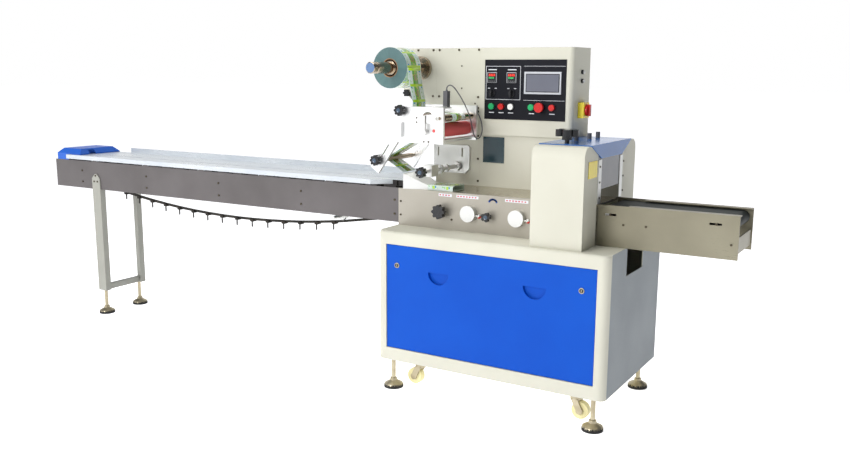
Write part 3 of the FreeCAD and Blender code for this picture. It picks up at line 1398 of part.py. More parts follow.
def control_box():
    """Control box with its panel and fittings, over the lower housing with its dark window."""
    box, pad = profile("control_case", "XY_Plane", D.plate_top - D.box_under, [[
        (0, 0),
        (D.box_length, 0),
        (D.box_length, D.box_depth),
        (0, D.box_depth),
    ]])
    round_edges(box, pad, "control_case_round", D.box_corner,
                lambda edge: upright(edge) and edge.CenterOfMass.y < 1 and edge.CenterOfMass.x > 1)
    place(box, BOX_LEFT, BOX_FACE, D.box_under)
    node("control_box", box)
    left = BOX_LEFT + D.overlay_left
    face = BOX_FACE - D.overlay_thick
    node("control_panel", block("control_panel", (left, left + D.overlay_width), (face, BOX_FACE),
                                (D.overlay_under, D.overlay_under + D.overlay_height)))
    low = D.overlay_under + D.screen_under
    screen = block("touch_screen", (left + D.screen_left, left + D.screen_left + D.screen_width),
                   (face - D.screen_thick, face), (low, low + D.screen_height))
    meters = []
    selectors = []
    half = D.meter_size / 2
    for name, setin in (("one", D.meter_one), ("two", D.meter_two)):
        x = left + setin
        meters.append(block(f"meter_{name}", (x - half, x + half), (face - D.meter_thick, face),
                            (D.meter_level - half, D.meter_level + half)))
        disc = rod(f"selector_{name}", "y", D.selector_radius, (face - 6, face), (x, D.selector_level))
        grip = block(f"selector_grip_{name}", (x - 4, x + 4), (face - 20, face - 6),
                     (D.selector_level - D.selector_radius, D.selector_level + D.selector_radius))
        selectors.append(fuse(f"selector_all_{name}", disc, grip))
    node("panel_displays", join("panel_displays", screen, *meters))
    first = left + D.meter_one
    spots = (first, first + D.button_pitch, first + D.button_pitch * 2, left + D.button_green, left + D.button_red)
    buttons = []
    for index, x in enumerate(spots):
        buttons.append(rod(f"button_{index}", "y", D.button_radius, (face - D.button_thick, face),
                           (x, D.button_level)))
    node("panel_switches", join("panel_switches", *selectors, *buttons))
    x = left + D.stop_setin
    neck_far = face - SEAT
    neck_near = neck_far - D.stop_travel - 8
    neck = rod("stop_neck", "y", D.stop_radius * 0.5, (neck_near, neck_far), (x, D.button_level))
    cap = rod("stop_cap", "y", D.stop_radius, (neck_near - D.button_thick, neck_near), (x, D.button_level))
    node("stop_button", fuse("stop_button", neck, cap))
    isolator()

    housing_front = PLATE_FACE
    housing = block("housing_case", (BOX_LEFT, BOX_RIGHT - 6), (housing_front, BOX_FACE + D.box_depth),
                    (D.deck_level, D.box_under))
    node("lower_housing", housing)
    x = BOX_LEFT + D.window_left
    node("housing_window", block("housing_window", (x, x + D.window_width),
                                 (housing_front - D.overlay_thick, housing_front),
                                 (D.window_under, D.window_under + D.window_height)))


def isolator():
    """Rotary isolator on the end of the control box."""
    y = FRONT + D.isolator_setback
    z = D.isolator_level
    half = D.isolator_size / 2
    x = BOX_RIGHT
    node("isolator_plate", block("isolator_plate", (x, x + D.isolator_thick), (y - half, y + half),
                                 (z - half, z + half)))
    x = x + D.isolator_thick + SEAT
    disc = rod("isolator_disc", "x", D.isolator_knob, (x, x + D.isolator_grip / 2), (y, z))
    grip = block("isolator_grip", (x + D.isolator_grip / 2, x + D.isolator_grip),
                 (y - D.isolator_knob / 3, y + D.isolator_knob / 3),
                 (z - D.isolator_knob, z + D.isolator_knob))
    node("isolator_knob", fuse("isolator_knob", disc, grip))


# ---------------------------------------------------------------- sealing guard

def sealing_guard():
    """Two rounded wings with a sloped visor between them, over the sealing head."""
    low = D.cabinet_top
    high = D.guard_top
    wings = []
    rear = FRONT + D.guard_rear
    near = FRONT + D.guard_setback
    for name, y, wide in (("front", near, D.guard_wing), ("rear", rear, D.guard_rear_wing)):
        wing, pad = profile(f"guard_wing_{name}", "XY_Plane", high - low, [[
            (0, 0),
            (D.guard_length, 0),
            (D.guard_length, wide),
            (0, wide),
        ]])
        outer = 0 if name == "front" else wide.value
        round_edges(wing, pad, f"guard_round_{name}", D.guard_round,
                    lambda edge, o=outer: lengthwise(edge) and edge.CenterOfMass.z > 1
                    and abs(edge.CenterOfMass.y - o) < 1)
        place(wing, GUARD_LEFT, y, low)
        wings.append(wing)
    node("guard_wings", join("guard_wings", *wings))
    near = near + D.guard_wing
    sheet = D.visor_sheet
    visor_near = FRONT + D.visor_setback
    visor_far = visor_near + D.visor_width
    x = GUARD_LEFT + D.post_along
    middle = FRONT + D.post_middle
    roof = block("visor_roof", (GUARD_LEFT, GUARD_RIGHT + sheet), (visor_near, visor_far), (high, high + sheet))
    flap, _ = profile("visor_flap", "YZ_Plane", sheet, [[
        (0, D.visor_flap),
        (D.visor_width, D.visor_flap),
        (D.visor_width - D.visor_gather, 0),
        (D.visor_gather, 0),
    ]])
    place(flap, GUARD_RIGHT, visor_near, high - D.visor_flap)
    spots = (("near", -D.post_inner), ("middle", D.post_inner), ("far", D.post_outer), ("knob", -D.post_outer))
    holes = [rod(f"post_hole_{name}", "z", D.post_radius + D.pin_play, (high - 1, high + sheet + 1),
                 (x, middle + offset)) for name, offset in spots]
    beside = block("visor_box_way", (GUARD_LEFT - 1, BOX_RIGHT + SEAT), (BOX_FACE - SEAT, visor_far + 1),
                   (high - 1, high + sheet + 1))
    node("guard_visor", cut("guard_visor", fuse("visor_all", roof, flap), beside, *holes))

    pane_top = high - D.visor_flap + sheet
    pane = block("guard_pane", (GUARD_RIGHT - D.pane_sheet, GUARD_RIGHT), (near, rear), (D.pane_under, high - SEAT))
    inlet = block("guard_inlet", (GUARD_LEFT, GUARD_LEFT + D.pane_sheet), (near, rear), (D.head_under, high - SEAT))
    node("guard_panes", join("guard_panes", pane, inlet))
    strips = []
    for name, y in (("front", near - SEAT), ("rear", rear + SEAT - D.strip_width)):
        strips.append(block(f"guard_strip_{name}", (GUARD_RIGHT, GUARD_RIGHT + D.strip_thick),
                            (y, y + D.strip_width), (D.strip_under, pane_top - sheet * 2)))
    node("guard_strips", join("guard_strips", *strips))
    head = block("crosshead", (GUARD_LEFT + D.head_start, GUARD_RIGHT - D.head_start),
                 (near, rear), (D.head_under, high - D.head_start))
    crosshead = head
    posts = []
    for name, offset in spots[:2]:
        posts.append(rod(f"guide_post_{name}", "z", D.post_radius, (high - D.head_start, high + D.post_rise),
                         (x, middle + offset)))
    posts.append(rod("guide_post_far", "z", D.post_radius, (high, high + D.post_rise), (x, middle + D.post_outer)))
    node("sealing_head", join("sealing_head", crosshead, *posts))
    y = middle - D.post_outer
    knob_low = high + D.top_knob_lift
    stem = rod("top_knob_stem", "z", D.post_radius, (high + SEAT, knob_low), (x, y))
    hub = rod("top_knob_hub", "z", D.post_radius * 2.2, (knob_low - D.head_start, knob_low), (x, y))
    head = lobed("top_knob_head", "z", D.top_knob_radius, (knob_low, knob_low + D.top_knob_thick), (x, y), 5, 0.36)
    node("seal_knob", fuse("seal_knob", stem, hub, head))


# ---------------------------------------------------------------- outfeed

def outfeed():
    """Two flanged side plates with the belt and its rollers between them."""
    near = FRONT + D.outfeed_setback
    far = near + D.outfeed_width
    low = D.cabinet_top
    high = D.deck_level
    sheet = D.outfeed_sheet
    left = GUARD_RIGHT
    length = OUTFEED_END - left
    flange_from = length - D.outfeed_overhang
    sides = []
    slot_half = D.outfeed_slot
    for name, inward in (("front", 1), ("back", -1)):
        plate, _ = profile(f"outfeed_plate_{name}", "XZ_Plane", sheet, [
            [(0, 0), (length, 0), (length, high - low), (0, high - low)],
            [(54 - slot_half, 121), (54 + slot_half, 121), (54 + slot_half, 129), (54 - slot_half, 129)],
            [(length - 84 - slot_half, 121), (length - 84 + slot_half, 121),
             (length - 84 + slot_half, 129), (length - 84 - slot_half, 129)],
        ])
        place(plate, left, near + sheet if inward > 0 else far, low)
        edge = (near, near + D.outfeed_flange) if inward > 0 else (far - D.outfeed_flange, far)
        flange = block(f"outfeed_flange_{name}", (left + flange_from, OUTFEED_END), edge, (high - sheet, high))
        sides.append(fuse(f"outfeed_side_{name}", plate, flange))
    cross_low = low + 20
    cross = block("outfeed_cross_plate", (OUTFEED_END - 8, OUTFEED_END - 4),
                  (near + sheet, far - sheet), (cross_low, cross_low + D.cross_height))
    node("outfeed_frame", fuse("outfeed_frame", *sides, cross))

    belt_near = near + sheet + D.belt_inset
    belt_far = far - sheet - D.belt_inset
    top = high - D.belt_drop
    radius = D.belt_roller + D.belt_sheet
    level = top - radius
    ends = (left + radius + 4, OUTFEED_END - radius - 12)
    loops = []
    for name, grow in (("outer", D.belt_sheet), ("inner", 0)):
        r = D.belt_roller + grow
        strip = block(f"belt_{name}_run", ends, (belt_near - 0, belt_far + 0), (level - r, level + r))
        caps = [rod(f"belt_{name}_{i}", "y", r, (belt_near, belt_far), (x, level)) for i, x in enumerate(ends)]
        loops.append(fuse(f"belt_{name}", strip, *caps))
    node("outfeed_belt", cut("outfeed_belt", *loops))
    rollers = []
    for index, x in enumerate(ends):
        drum = rod(f"belt_drum_{index}", "y", D.belt_roller - SEAT, (belt_near, belt_far), (x, level))
        pin = rod(f"belt_pin_{index}", "y", 8, (near + sheet, far - sheet), (x, level))
        rollers.append(fuse(f"belt_roller_{index}", drum, pin))
    node("outfeed_rollers", join("outfeed_rollers", *rollers))


# ---------------------------------------------------------------- assembly

def check():
    """Stops unless every object is computed and every sub-part is a sound shape."""
    DOC.recompute()
    for item in DOC.Objects:
        if "Invalid" in item.State or "Error" in item.State:
            raise RuntimeError(f"{item.Name} failed: {item.State}")
    for item in NODES:
        shape = item.Shape
        if shape.isNull() or not shape.isValid() or not shape.Solids:
            raise RuntimeError(f"{item.Label} has no sound solid")


def write():
    """Writes each sub-part as a STEP file named after its node."""
    os.makedirs("parts", exist_ok=True)
    for item in NODES:
        item.Shape.exportStep(f"parts/{item.Label}.step")
        print(item.Label, len(item.Shape.Solids), [round(v, 1) for v in bounds(item.Shape)])


def bounds(shape):
    """Low and high corners of a shape."""
    box = shape.BoundBox
    return box.XMin, box.YMin, box.ZMin, box.XMax, box.YMax, box.ZMax


def main():
    """Builds the machine from the floor up."""
    cabinet()
    access_panel()
    levelling_feet()
    casters()
    infeed_body()
    stand()
    pusher_chain()
    chain_sprockets()
    bed()
    bed_controls()
    clamp_knobs()
    film_plates()
    film_spindle()
    feeder()
    film_sensor()
    sensor_cable()
    film_fittings()
    guide_bracket()
    film()
    forming_box()
    control_box()
    sealing_guard()
    outfeed()
    check()
    write()


main()
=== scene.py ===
"""Looks of the horizontal flow wrapper: finishes, small fittings, light and camera.

Every length is in metres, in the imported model's own frame: +X runs with the product, -Y is the
operator's side and +Z is up.
"""

from __future__ import annotations

import logging
import math
from collections.abc import Callable, Iterable, Sequence
from dataclasses import dataclass
from enum import Enum

import bmesh
import bpy
from mathutils import Matrix, Vector

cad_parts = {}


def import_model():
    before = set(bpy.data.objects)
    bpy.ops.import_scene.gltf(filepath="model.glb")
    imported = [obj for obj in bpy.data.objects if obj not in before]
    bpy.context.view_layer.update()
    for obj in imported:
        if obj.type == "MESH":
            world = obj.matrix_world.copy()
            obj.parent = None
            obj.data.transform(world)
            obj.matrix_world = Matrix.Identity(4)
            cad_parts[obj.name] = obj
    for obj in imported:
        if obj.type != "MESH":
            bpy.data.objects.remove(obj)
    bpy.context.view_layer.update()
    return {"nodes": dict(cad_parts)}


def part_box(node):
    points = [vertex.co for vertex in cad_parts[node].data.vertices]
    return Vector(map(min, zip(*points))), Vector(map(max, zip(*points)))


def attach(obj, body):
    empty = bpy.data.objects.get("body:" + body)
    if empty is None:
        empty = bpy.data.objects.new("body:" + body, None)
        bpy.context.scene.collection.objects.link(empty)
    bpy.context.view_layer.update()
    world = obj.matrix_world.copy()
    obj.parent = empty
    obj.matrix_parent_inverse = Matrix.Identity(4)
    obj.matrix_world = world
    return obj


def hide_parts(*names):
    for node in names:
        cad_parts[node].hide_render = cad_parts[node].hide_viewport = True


LOG = logging.getLogger("flow_wrapper")
MILLIMETRE = 0.001

Colour = tuple[float, float, float]
Point = tuple[float, float, float]


def mm(*values: float) -> tuple[float, ...]:
    """Turns millimetres into metres.

    Args:
        values: Lengths in millimetres.

    Returns:
        The same lengths in metres.
    """
    return tuple(value * MILLIMETRE for value in values)


def srgb(red: int, green: int, blue: int) -> Colour:
    """Turns a screen colour of 0 to 255 into linear light.

    Args:
        red: Red, 0 to 255.
        green: Green, 0 to 255.
        blue: Blue, 0 to 255.

    Returns:
        The linear colour.
    """
    def linear(value: int) -> float:
        share = value / 255
        return share / 12.92 if share <= 0.04045 else ((share + 0.055) / 1.055) ** 2.4

    return linear(red), linear(green), linear(blue)


# ------------------------------------------------------------------ finishes

HALF = 0.5
PATCH_DETAIL = 4.0
GRAIN_DETAIL = 2.0
LEAST_DRIFT = 0.02
LEAST_ROUGH = 0.02
NOISE_LOW = 0.25
NOISE_HIGH = 0.75
COAT_ROUGHNESS = 0.12
EDGE_SAMPLES = 4
MIX_SHARE = 0
MIX_COLOURS = (6, 7)
MIX_RESULT = 2


class Maths:
    """Short way to write sums of a tree's nodes."""

    def __init__(self, tree: bpy.types.NodeTree) -> None:
        """Keeps the tree."""
        self.tree = tree

    def sum(self, operation: str, *terms: bpy.types.NodeSocket | float) -> bpy.types.NodeSocket:
        """Adds a Math node.

        Args:
            operation: Name of the operation.
            terms: Sockets or numbers.

        Returns:
            The result's socket.
        """
        node = self.tree.nodes.new("ShaderNodeMath")
        node.operation = operation
        for index, term in enumerate(terms):
            if isinstance(term, bpy.types.NodeSocket):
                self.tree.links.new(term, node.inputs[index])
            else:
                node.inputs[index].default_value = term
        return node.outputs[0]

    def between(self, value: bpy.types.NodeSocket, low: float, high: float) -> bpy.types.NodeSocket:
        """Tells where a value lies between two numbers.

        Args:
            value: The value's socket.
            low: Lower number.
            high: Upper number.

        Returns:
            A socket that is 1 between them, else 0.
        """
        return self.sum("MULTIPLY", self.sum("GREATER_THAN", value, low), self.sum("LESS_THAN", value, high))

    def mix(self, share: bpy.types.NodeSocket, first: bpy.types.NodeSocket | Colour,
            second: bpy.types.NodeSocket | Colour) -> bpy.types.NodeSocket:
        """Mixes two colours.

        Args:
            share: How much of the second colour shows.
            first: First colour, linear, or its socket.
            second: Second colour, linear, or its socket.

        Returns:
            The mixed colour's socket.
        """
        node = self.tree.nodes.new("ShaderNodeMix")
        node.data_type = "RGBA"
        self.tree.links.new(share, node.inputs[MIX_SHARE])
        for index, term in zip(MIX_COLOURS, (first, second)):
            if isinstance(term, bpy.types.NodeSocket):
                self.tree.links.new(term, node.inputs[index])
            else:
                node.inputs[index].default_value = (*term, 1.0)
        return node.outputs[MIX_RESULT]


class Grain(Enum):
    """How a finish's fine texture runs."""

    EVEN = (1.0, 1.0, 1.0)
    ALONG_X = (0.02, 1.0, 1.0)
    ALONG_Y = (1.0, 0.02, 1.0)
    ALONG_Z = (1.0, 1.0, 0.02)


@dataclass(frozen=True)
class Finish:
    """One surface finish.

    Attributes:
        name: Material name.
        colour: Main colour, linear.
        second: Colour it drifts to in patches, linear.
        drift: How much of the second colour shows.
        patch: Size of a patch in metres.
        rough: Mean roughness.
        rough_drift: How far roughness strays from its mean.
        metallic: 1 for bare metal.
        grain: Direction of the fine texture.
        grain_size: Width of the fine texture in metres.
        bump: Height of the fine texture in metres.
        coat: Clear coat weight.
        edge: Radius in metres over which edges catch the light.
        glow: Emission strength.
        see_through: Transmission weight.
        alpha: Opacity.
        shine: Specular level.
    """

    name: str
    colour: Colour
    second: Colour
    drift: float = 0.35
    patch: float = 0.25
    rough: float = 0.45
    rough_drift: float = 0.12
    metallic: float = 0.0
    grain: Grain = Grain.EVEN
    grain_size: float = 0.0015
    bump: float = 0.00004
    coat: float = 0.0
    edge: float = 0.0015
    glow: float = 0.0
    see_through: float = 0.0
    alpha: float = 1.0
    shine: float = 0.3

    def build(self) -> bpy.types.Material:
        """Makes the material, or returns the one already made.

        Returns:
            The node-based material.
        """
        made = bpy.data.materials.get(self.name)
        if made:
            return made
        material = bpy.data.materials.new(self.name)
        material.use_nodes = True
        tree = material.node_tree
        maths = Maths(tree)
        shader = tree.nodes["Principled BSDF"]
        place = tree.nodes.new("ShaderNodeTexCoord")
        patches = noise(tree, place, Grain.EVEN.value, 1.0 / self.patch, PATCH_DETAIL)
        fine = noise(tree, place, self.grain.value, 1.0 / self.grain_size, GRAIN_DETAIL)

        ramp = tree.nodes.new("ShaderNodeValToRGB")
        start, end = ramp.color_ramp.elements
        start.position = HALF - HALF * max(self.drift, LEAST_DRIFT)
        start.color = (*self.colour, 1.0)
        end.color = (*self.second, 1.0)
        tree.links.new(patches.outputs["Fac"], ramp.inputs["Fac"])
        tree.links.new(ramp.outputs["Color"], shader.inputs["Base Color"])

        level = tree.nodes.new("ShaderNodeMapRange")
        level.inputs["From Min"].default_value = NOISE_LOW
        level.inputs["From Max"].default_value = NOISE_HIGH
        level.inputs["To Min"].default_value = max(self.rough - self.rough_drift, LEAST_ROUGH)
        level.inputs["To Max"].default_value = min(self.rough + self.rough_drift, 1.0)
        halved = maths.sum("MULTIPLY", patches.outputs["Fac"], HALF)
        blend = maths.sum("MULTIPLY_ADD", fine.outputs["Fac"], HALF, halved)
        tree.links.new(blend, level.inputs["Value"])
        tree.links.new(level.outputs["Result"], shader.inputs["Roughness"])

        bump = tree.nodes.new("ShaderNodeBump")
        bump.inputs["Strength"].default_value = 1.0
        bump.inputs["Distance"].default_value = self.bump
        tree.links.new(fine.outputs["Fac"], bump.inputs["Height"])
        if self.edge:
            bevel = tree.nodes.new("ShaderNodeBevel")
            bevel.samples = EDGE_SAMPLES
            bevel.inputs["Radius"].default_value = self.edge
            tree.links.new(bevel.outputs["Normal"], bump.inputs["Normal"])
        tree.links.new(bump.outputs["Normal"], shader.inputs["Normal"])

        shader.inputs["Metallic"].default_value = self.metallic
        shader.inputs["Specular IOR Level"].default_value = self.shine
        shader.inputs["Coat Weight"].default_value = self.coat
        shader.inputs["Coat Roughness"].default_value = COAT_ROUGHNESS
        shader.inputs["Transmission Weight"].default_value = self.see_through
        shader.inputs["Alpha"].default_value = self.alpha
        if self.glow:
            shader.inputs["Emission Color"].default_value = (*self.colour, 1.0)
            shader.inputs["Emission Strength"].default_value = self.glow
        return material


def noise(
    tree: bpy.types.NodeTree,
    place: bpy.types.Node,
    stretch: Sequence[float],
    scale: float,
    detail: float,
) -> bpy.types.Node:
    """Adds a noise texture in object coordinates.

    Args:
        tree: Node tree to add to.
        place: Texture coordinate node.
        stretch: Scale of the pattern on each axis.
        scale: Patches per metre.
        detail: Octaves.

    Returns:
        The noise node.
    """
    mapping = tree.nodes.new("ShaderNodeMapping")
    mapping.inputs["Scale"].default_value = stretch
    tree.links.new(place.outputs["Object"], mapping.inputs["Vector"])
    texture = tree.nodes.new("ShaderNodeTexNoise")
    texture.inputs["Scale"].default_value = scale
    texture.inputs["Detail"].default_value = detail
    tree.links.new(mapping.outputs["Vector"], texture.inputs["Vector"])
    return texture


CREAM = Finish("cream_powder_coat", srgb(207, 205, 190), srgb(196, 194, 178), rough=0.5)
BLUE_PANEL = Finish("blue_gloss_panel", srgb(0, 78, 186), srgb(0, 68, 174), rough=0.42, shine=0.15)
INFEED_SIDE = Finish("brushed_dark_side", srgb(106, 102, 102), srgb(86, 82, 81), rough=0.4,
                     metallic=0.55, grain=Grain.ALONG_X, grain_size=0.0008, bump=0.00002)
TABLE = Finish("bright_table_sheet", srgb(206, 210, 213), srgb(180, 188, 197), rough=0.32, metallic=0.35,
               grain=Grain.ALONG_X, grain_size=0.0008)
BLUE_PAINT = Finish("blue_end_paint", srgb(36, 94, 190), srgb(28, 80, 172), rough=0.45, coat=0.08)
LEG_PAINT = Finish("light_grey_leg", srgb(158, 158, 150), srgb(140, 139, 130), rough=0.45)
ZINC = Finish("zinc_plate", srgb(186, 176, 150), srgb(150, 138, 112), rough=0.34, metallic=0.9, patch=0.03)
RUBBER = Finish("black_rubber", srgb(34, 34, 34), srgb(52, 51, 49), rough=0.75, patch=0.04)
NYLON = Finish("cream_nylon", srgb(236, 228, 178), srgb(218, 206, 150), rough=0.5, patch=0.03)
CHAIN = Finish("oiled_chain", srgb(38, 37, 35), srgb(74, 68, 60), rough=0.45, metallic=0.7, patch=0.03)
BED = Finish("ground_bed_plate", srgb(172, 167, 156), srgb(154, 148, 136), rough=0.36, metallic=0.4,
             grain=Grain.ALONG_X, grain_size=0.0009)
BED_TOP = Finish("polished_bed", srgb(206, 198, 180), srgb(160, 150, 130), rough=0.22, metallic=0.9,
                 grain=Grain.ALONG_X, grain_size=0.0009)
BLACK = Finish("black_gloss_plastic", srgb(14, 14, 17), srgb(28, 29, 34), rough=0.28, coat=0.4, patch=0.03)
STEEL = Finish("satin_steel", srgb(146, 144, 138), srgb(112, 108, 100), rough=0.36, metallic=0.8, patch=0.05)
ALUMINIUM = Finish("white_aluminium", srgb(172, 171, 170), srgb(156, 156, 158), rough=0.55,
                   shine=0.15)
CHROME = Finish("dull_chrome", srgb(190, 176, 156), srgb(120, 106, 88), rough=0.2, metallic=1.0, patch=0.06)
RED_RUBBER = Finish("red_rubber", srgb(196, 42, 40), srgb(168, 30, 32), rough=0.5, patch=0.05)
ROLL = Finish("wound_film_edge", srgb(92, 128, 128), srgb(70, 104, 106), rough=0.4, patch=0.04)
FILM = Finish("plain_film", srgb(222, 232, 220), srgb(196, 216, 190), rough=0.3, coat=0.3)
GREY_PLASTIC = Finish("dark_grey_plastic", srgb(60, 62, 66), srgb(44, 45, 50), rough=0.5, patch=0.03)
OVERLAY = Finish("navy_overlay", srgb(22, 23, 30), srgb(17, 18, 25), rough=0.45, shine=0.12)
SCREEN = Finish("screen_bezel", srgb(186, 188, 192), srgb(170, 172, 178), rough=0.4, metallic=0.3, patch=0.05)
RED_PLASTIC = Finish("red_plastic", srgb(206, 24, 20), srgb(180, 16, 16), rough=0.3, coat=0.3, patch=0.03)
GREEN_PLASTIC = Finish("green_plastic", srgb(20, 168, 96), srgb(14, 140, 84), rough=0.3, coat=0.3, patch=0.03)
YELLOW_PLASTIC = Finish("yellow_plastic", srgb(240, 200, 30), srgb(226, 180, 20), rough=0.4, patch=0.03)
WINDOW = Finish("dark_teal_window", srgb(16, 46, 54), srgb(22, 60, 68), rough=0.15, coat=0.6)
VISOR = Finish("blue_visor", srgb(52, 104, 172), srgb(66, 116, 180), rough=0.2, coat=0.2)
PANE = Finish("grey_window_pane", srgb(92, 94, 99), srgb(78, 81, 88), rough=0.14, coat=0.3, patch=0.08)
SHADE_SIDE = Finish("shaded_cream_side", srgb(140, 146, 150), srgb(128, 134, 138), rough=0.55)
# White for printed lines and labels, and also for the painted highlight on the knob caps.
WHITE_PRINT_AND_HIGHLIGHT = Finish("white_print_and_painted_highlight", srgb(226, 228, 232), srgb(214, 216, 222), rough=0.5, bump=0.0, edge=0.0)
SCREEN_GLASS = Finish("screen_glass", srgb(112, 114, 124), srgb(96, 98, 110), rough=0.1, coat=0.8, edge=0.0)
DIGIT_RED = Finish("lit_digits", srgb(232, 60, 40), srgb(220, 40, 30), rough=0.4, bump=0.0, edge=0.0,
                   glow=1.2)
DIGIT_GREEN = Finish("lit_green_digits", srgb(70, 210, 120), srgb(50, 190, 100), rough=0.4, bump=0.0,
                     edge=0.0, glow=0.9)
CAP = Finish("blue_grey_cap", srgb(64, 84, 104), srgb(46, 62, 80), rough=0.35, coat=0.4, patch=0.01)
BRASS = Finish("old_brass", srgb(178, 150, 96), srgb(128, 100, 60), rough=0.34, metallic=0.9, patch=0.02)
SCREW = Finish("dark_screw", srgb(92, 84, 70), srgb(52, 46, 38), rough=0.36, metallic=0.9, patch=0.006)
BRIGHT_SCREW = Finish("bright_screw", srgb(206, 204, 198), srgb(160, 156, 148), rough=0.3, metallic=0.9,
                      patch=0.006)
PINK_MARK = Finish("red_label_mark", srgb(206, 60, 74), srgb(190, 50, 66), rough=0.5, bump=0.0, edge=0.0)
ORANGE = Finish("orange_tag", srgb(238, 120, 40), srgb(220, 100, 30), rough=0.5, bump=0.0, edge=0.0)
CORE = Finish("film_core", srgb(150, 116, 84), srgb(122, 92, 66), rough=0.7, patch=0.02)
SHAFT_END = Finish("blued_shaft_end", srgb(110, 138, 178), srgb(86, 112, 150), rough=0.3, metallic=0.5,
                   patch=0.02)
BELT = Finish("dark_belt", srgb(28, 34, 32), srgb(40, 46, 44), rough=0.6, patch=0.08)
OUTFEED = Finish("warm_stainless", srgb(142, 137, 118), srgb(120, 115, 98), rough=0.36, metallic=0.55,
                 grain=Grain.ALONG_X, grain_size=0.0009)
FLOOR = Finish("floor", srgb(238, 238, 239), srgb(236, 236, 237), rough=0.9, bump=0.0, edge=0.0, patch=2.0,
               glow=1.0)

NODE_FINISH: dict[str, Finish] = {
    "cabinet_front_frame": CREAM,
    "cabinet_walls": CREAM,
    "access_panel": BLUE_PANEL,
    "levelling_feet": ZINC,
    "caster_fork_left": ZINC,
    "caster_fork_right": ZINC,
    "rear_casters": ZINC,
    "caster_wheel_left": NYLON,
    "caster_wheel_right": NYLON,
    "infeed_sides": INFEED_SIDE,
    "infeed_table": TABLE,
    "infeed_end_cover": BLUE_PAINT,
    "stand_frame": LEG_PAINT,
    "pusher_chain": CHAIN,
    "chain_sprockets": STEEL,
    "bed_front_plate": BED,
    "bed_top": BED_TOP,
    "bed_handwheel": BLACK,
    "bed_star_knob": BLACK,
    "sealing_lever_left": STEEL,
    "sealing_lever_right": STEEL,
    "clamp_knob_upper": BLACK,
    "clamp_knob_arm": BLACK,
    "clamp_knob_guide": BLACK,
    "film_plates": CREAM,
    "film_spindle": CHROME,
    "film_roll": ROLL,
    "feeder_frame": ALUMINIUM,
    "feed_roller": RED_RUBBER,
    "guide_roller": CHROME,
    "film_fittings": BLACK,
    "sensor_cable": GREY_PLASTIC,
    "idler_roller": CHROME,
    "nip_lever": STEEL,
    "film_sensor": GREY_PLASTIC,
    "guide_bracket": STEEL,
    "film_web": FILM,
    "film_tube": FILM,
    "forming_box": STEEL,
    "control_box": CREAM,
    "control_panel": OVERLAY,
    "panel_displays": SCREEN,
    "panel_switches": RED_PLASTIC,
    "stop_button": RED_PLASTIC,
    "isolator_plate": YELLOW_PLASTIC,
    "isolator_knob": RED_PLASTIC,
    "lower_housing": CREAM,
    "housing_window": WINDOW,
    "guard_wings": CREAM,
    "sealing_head": GREY_PLASTIC,
    "guard_visor": VISOR,
    "guard_panes": PANE,
    "guard_strips": STEEL,
    "seal_knob": BLACK,
    "outfeed_frame": OUTFEED,
    "outfeed_belt": BELT,
    "outfeed_rollers": STEEL,
}


def dress_nodes(nodes: dict[str, bpy.types.Object]) -> None:
    """Gives each CAD node its finish.

    Args:
        nodes: CAD nodes by name.
    """
    for name, item in nodes.items():
        item.data.materials.clear()
        item.data.materials.append(NODE_FINISH[name].build())


def paint_faces(item: bpy.types.Object, finish: Finish, wanted: Callable[[Vector, Vector], bool]) -> None:
    """Gives some faces of a CAD node another finish.

    Args:
        item: The node's object.
        finish: Finish for the chosen faces.
        wanted: Says from a face's centre in millimetres and its normal whether it is chosen.
    """
    item.data.materials.append(finish.build())
    slot = len(item.data.materials) - 1
    for face in item.data.polygons:
        if wanted(face.center / MILLIMETRE, face.normal):
            face.material_index = slot


# ------------------------------------------------------------------ pieces

AXIS_TURN = {
    "x": Matrix.Rotation(math.pi / 2, 4, "Y"),
    "y": Matrix.Rotation(-math.pi / 2, 4, "X"),
    "z": Matrix.Identity(4),
}
ROD_SIDES = 32
BALL_SIDES = 24
BALL_RINGS = 16
CABINET_START = 440.0
CABINET_FRONT = -320.0


def spot(along: float, behind: float, level: float) -> Point:
    """Turns a place on the machine into the model's frame, in millimetres.

    Args:
        along: After the start of the cabinet.
        behind: Behind the cabinet's front.
        level: Above the floor.

    Returns:
        The same place in the model's frame.
    """
    return along + CABINET_START, behind + CABINET_FRONT, level


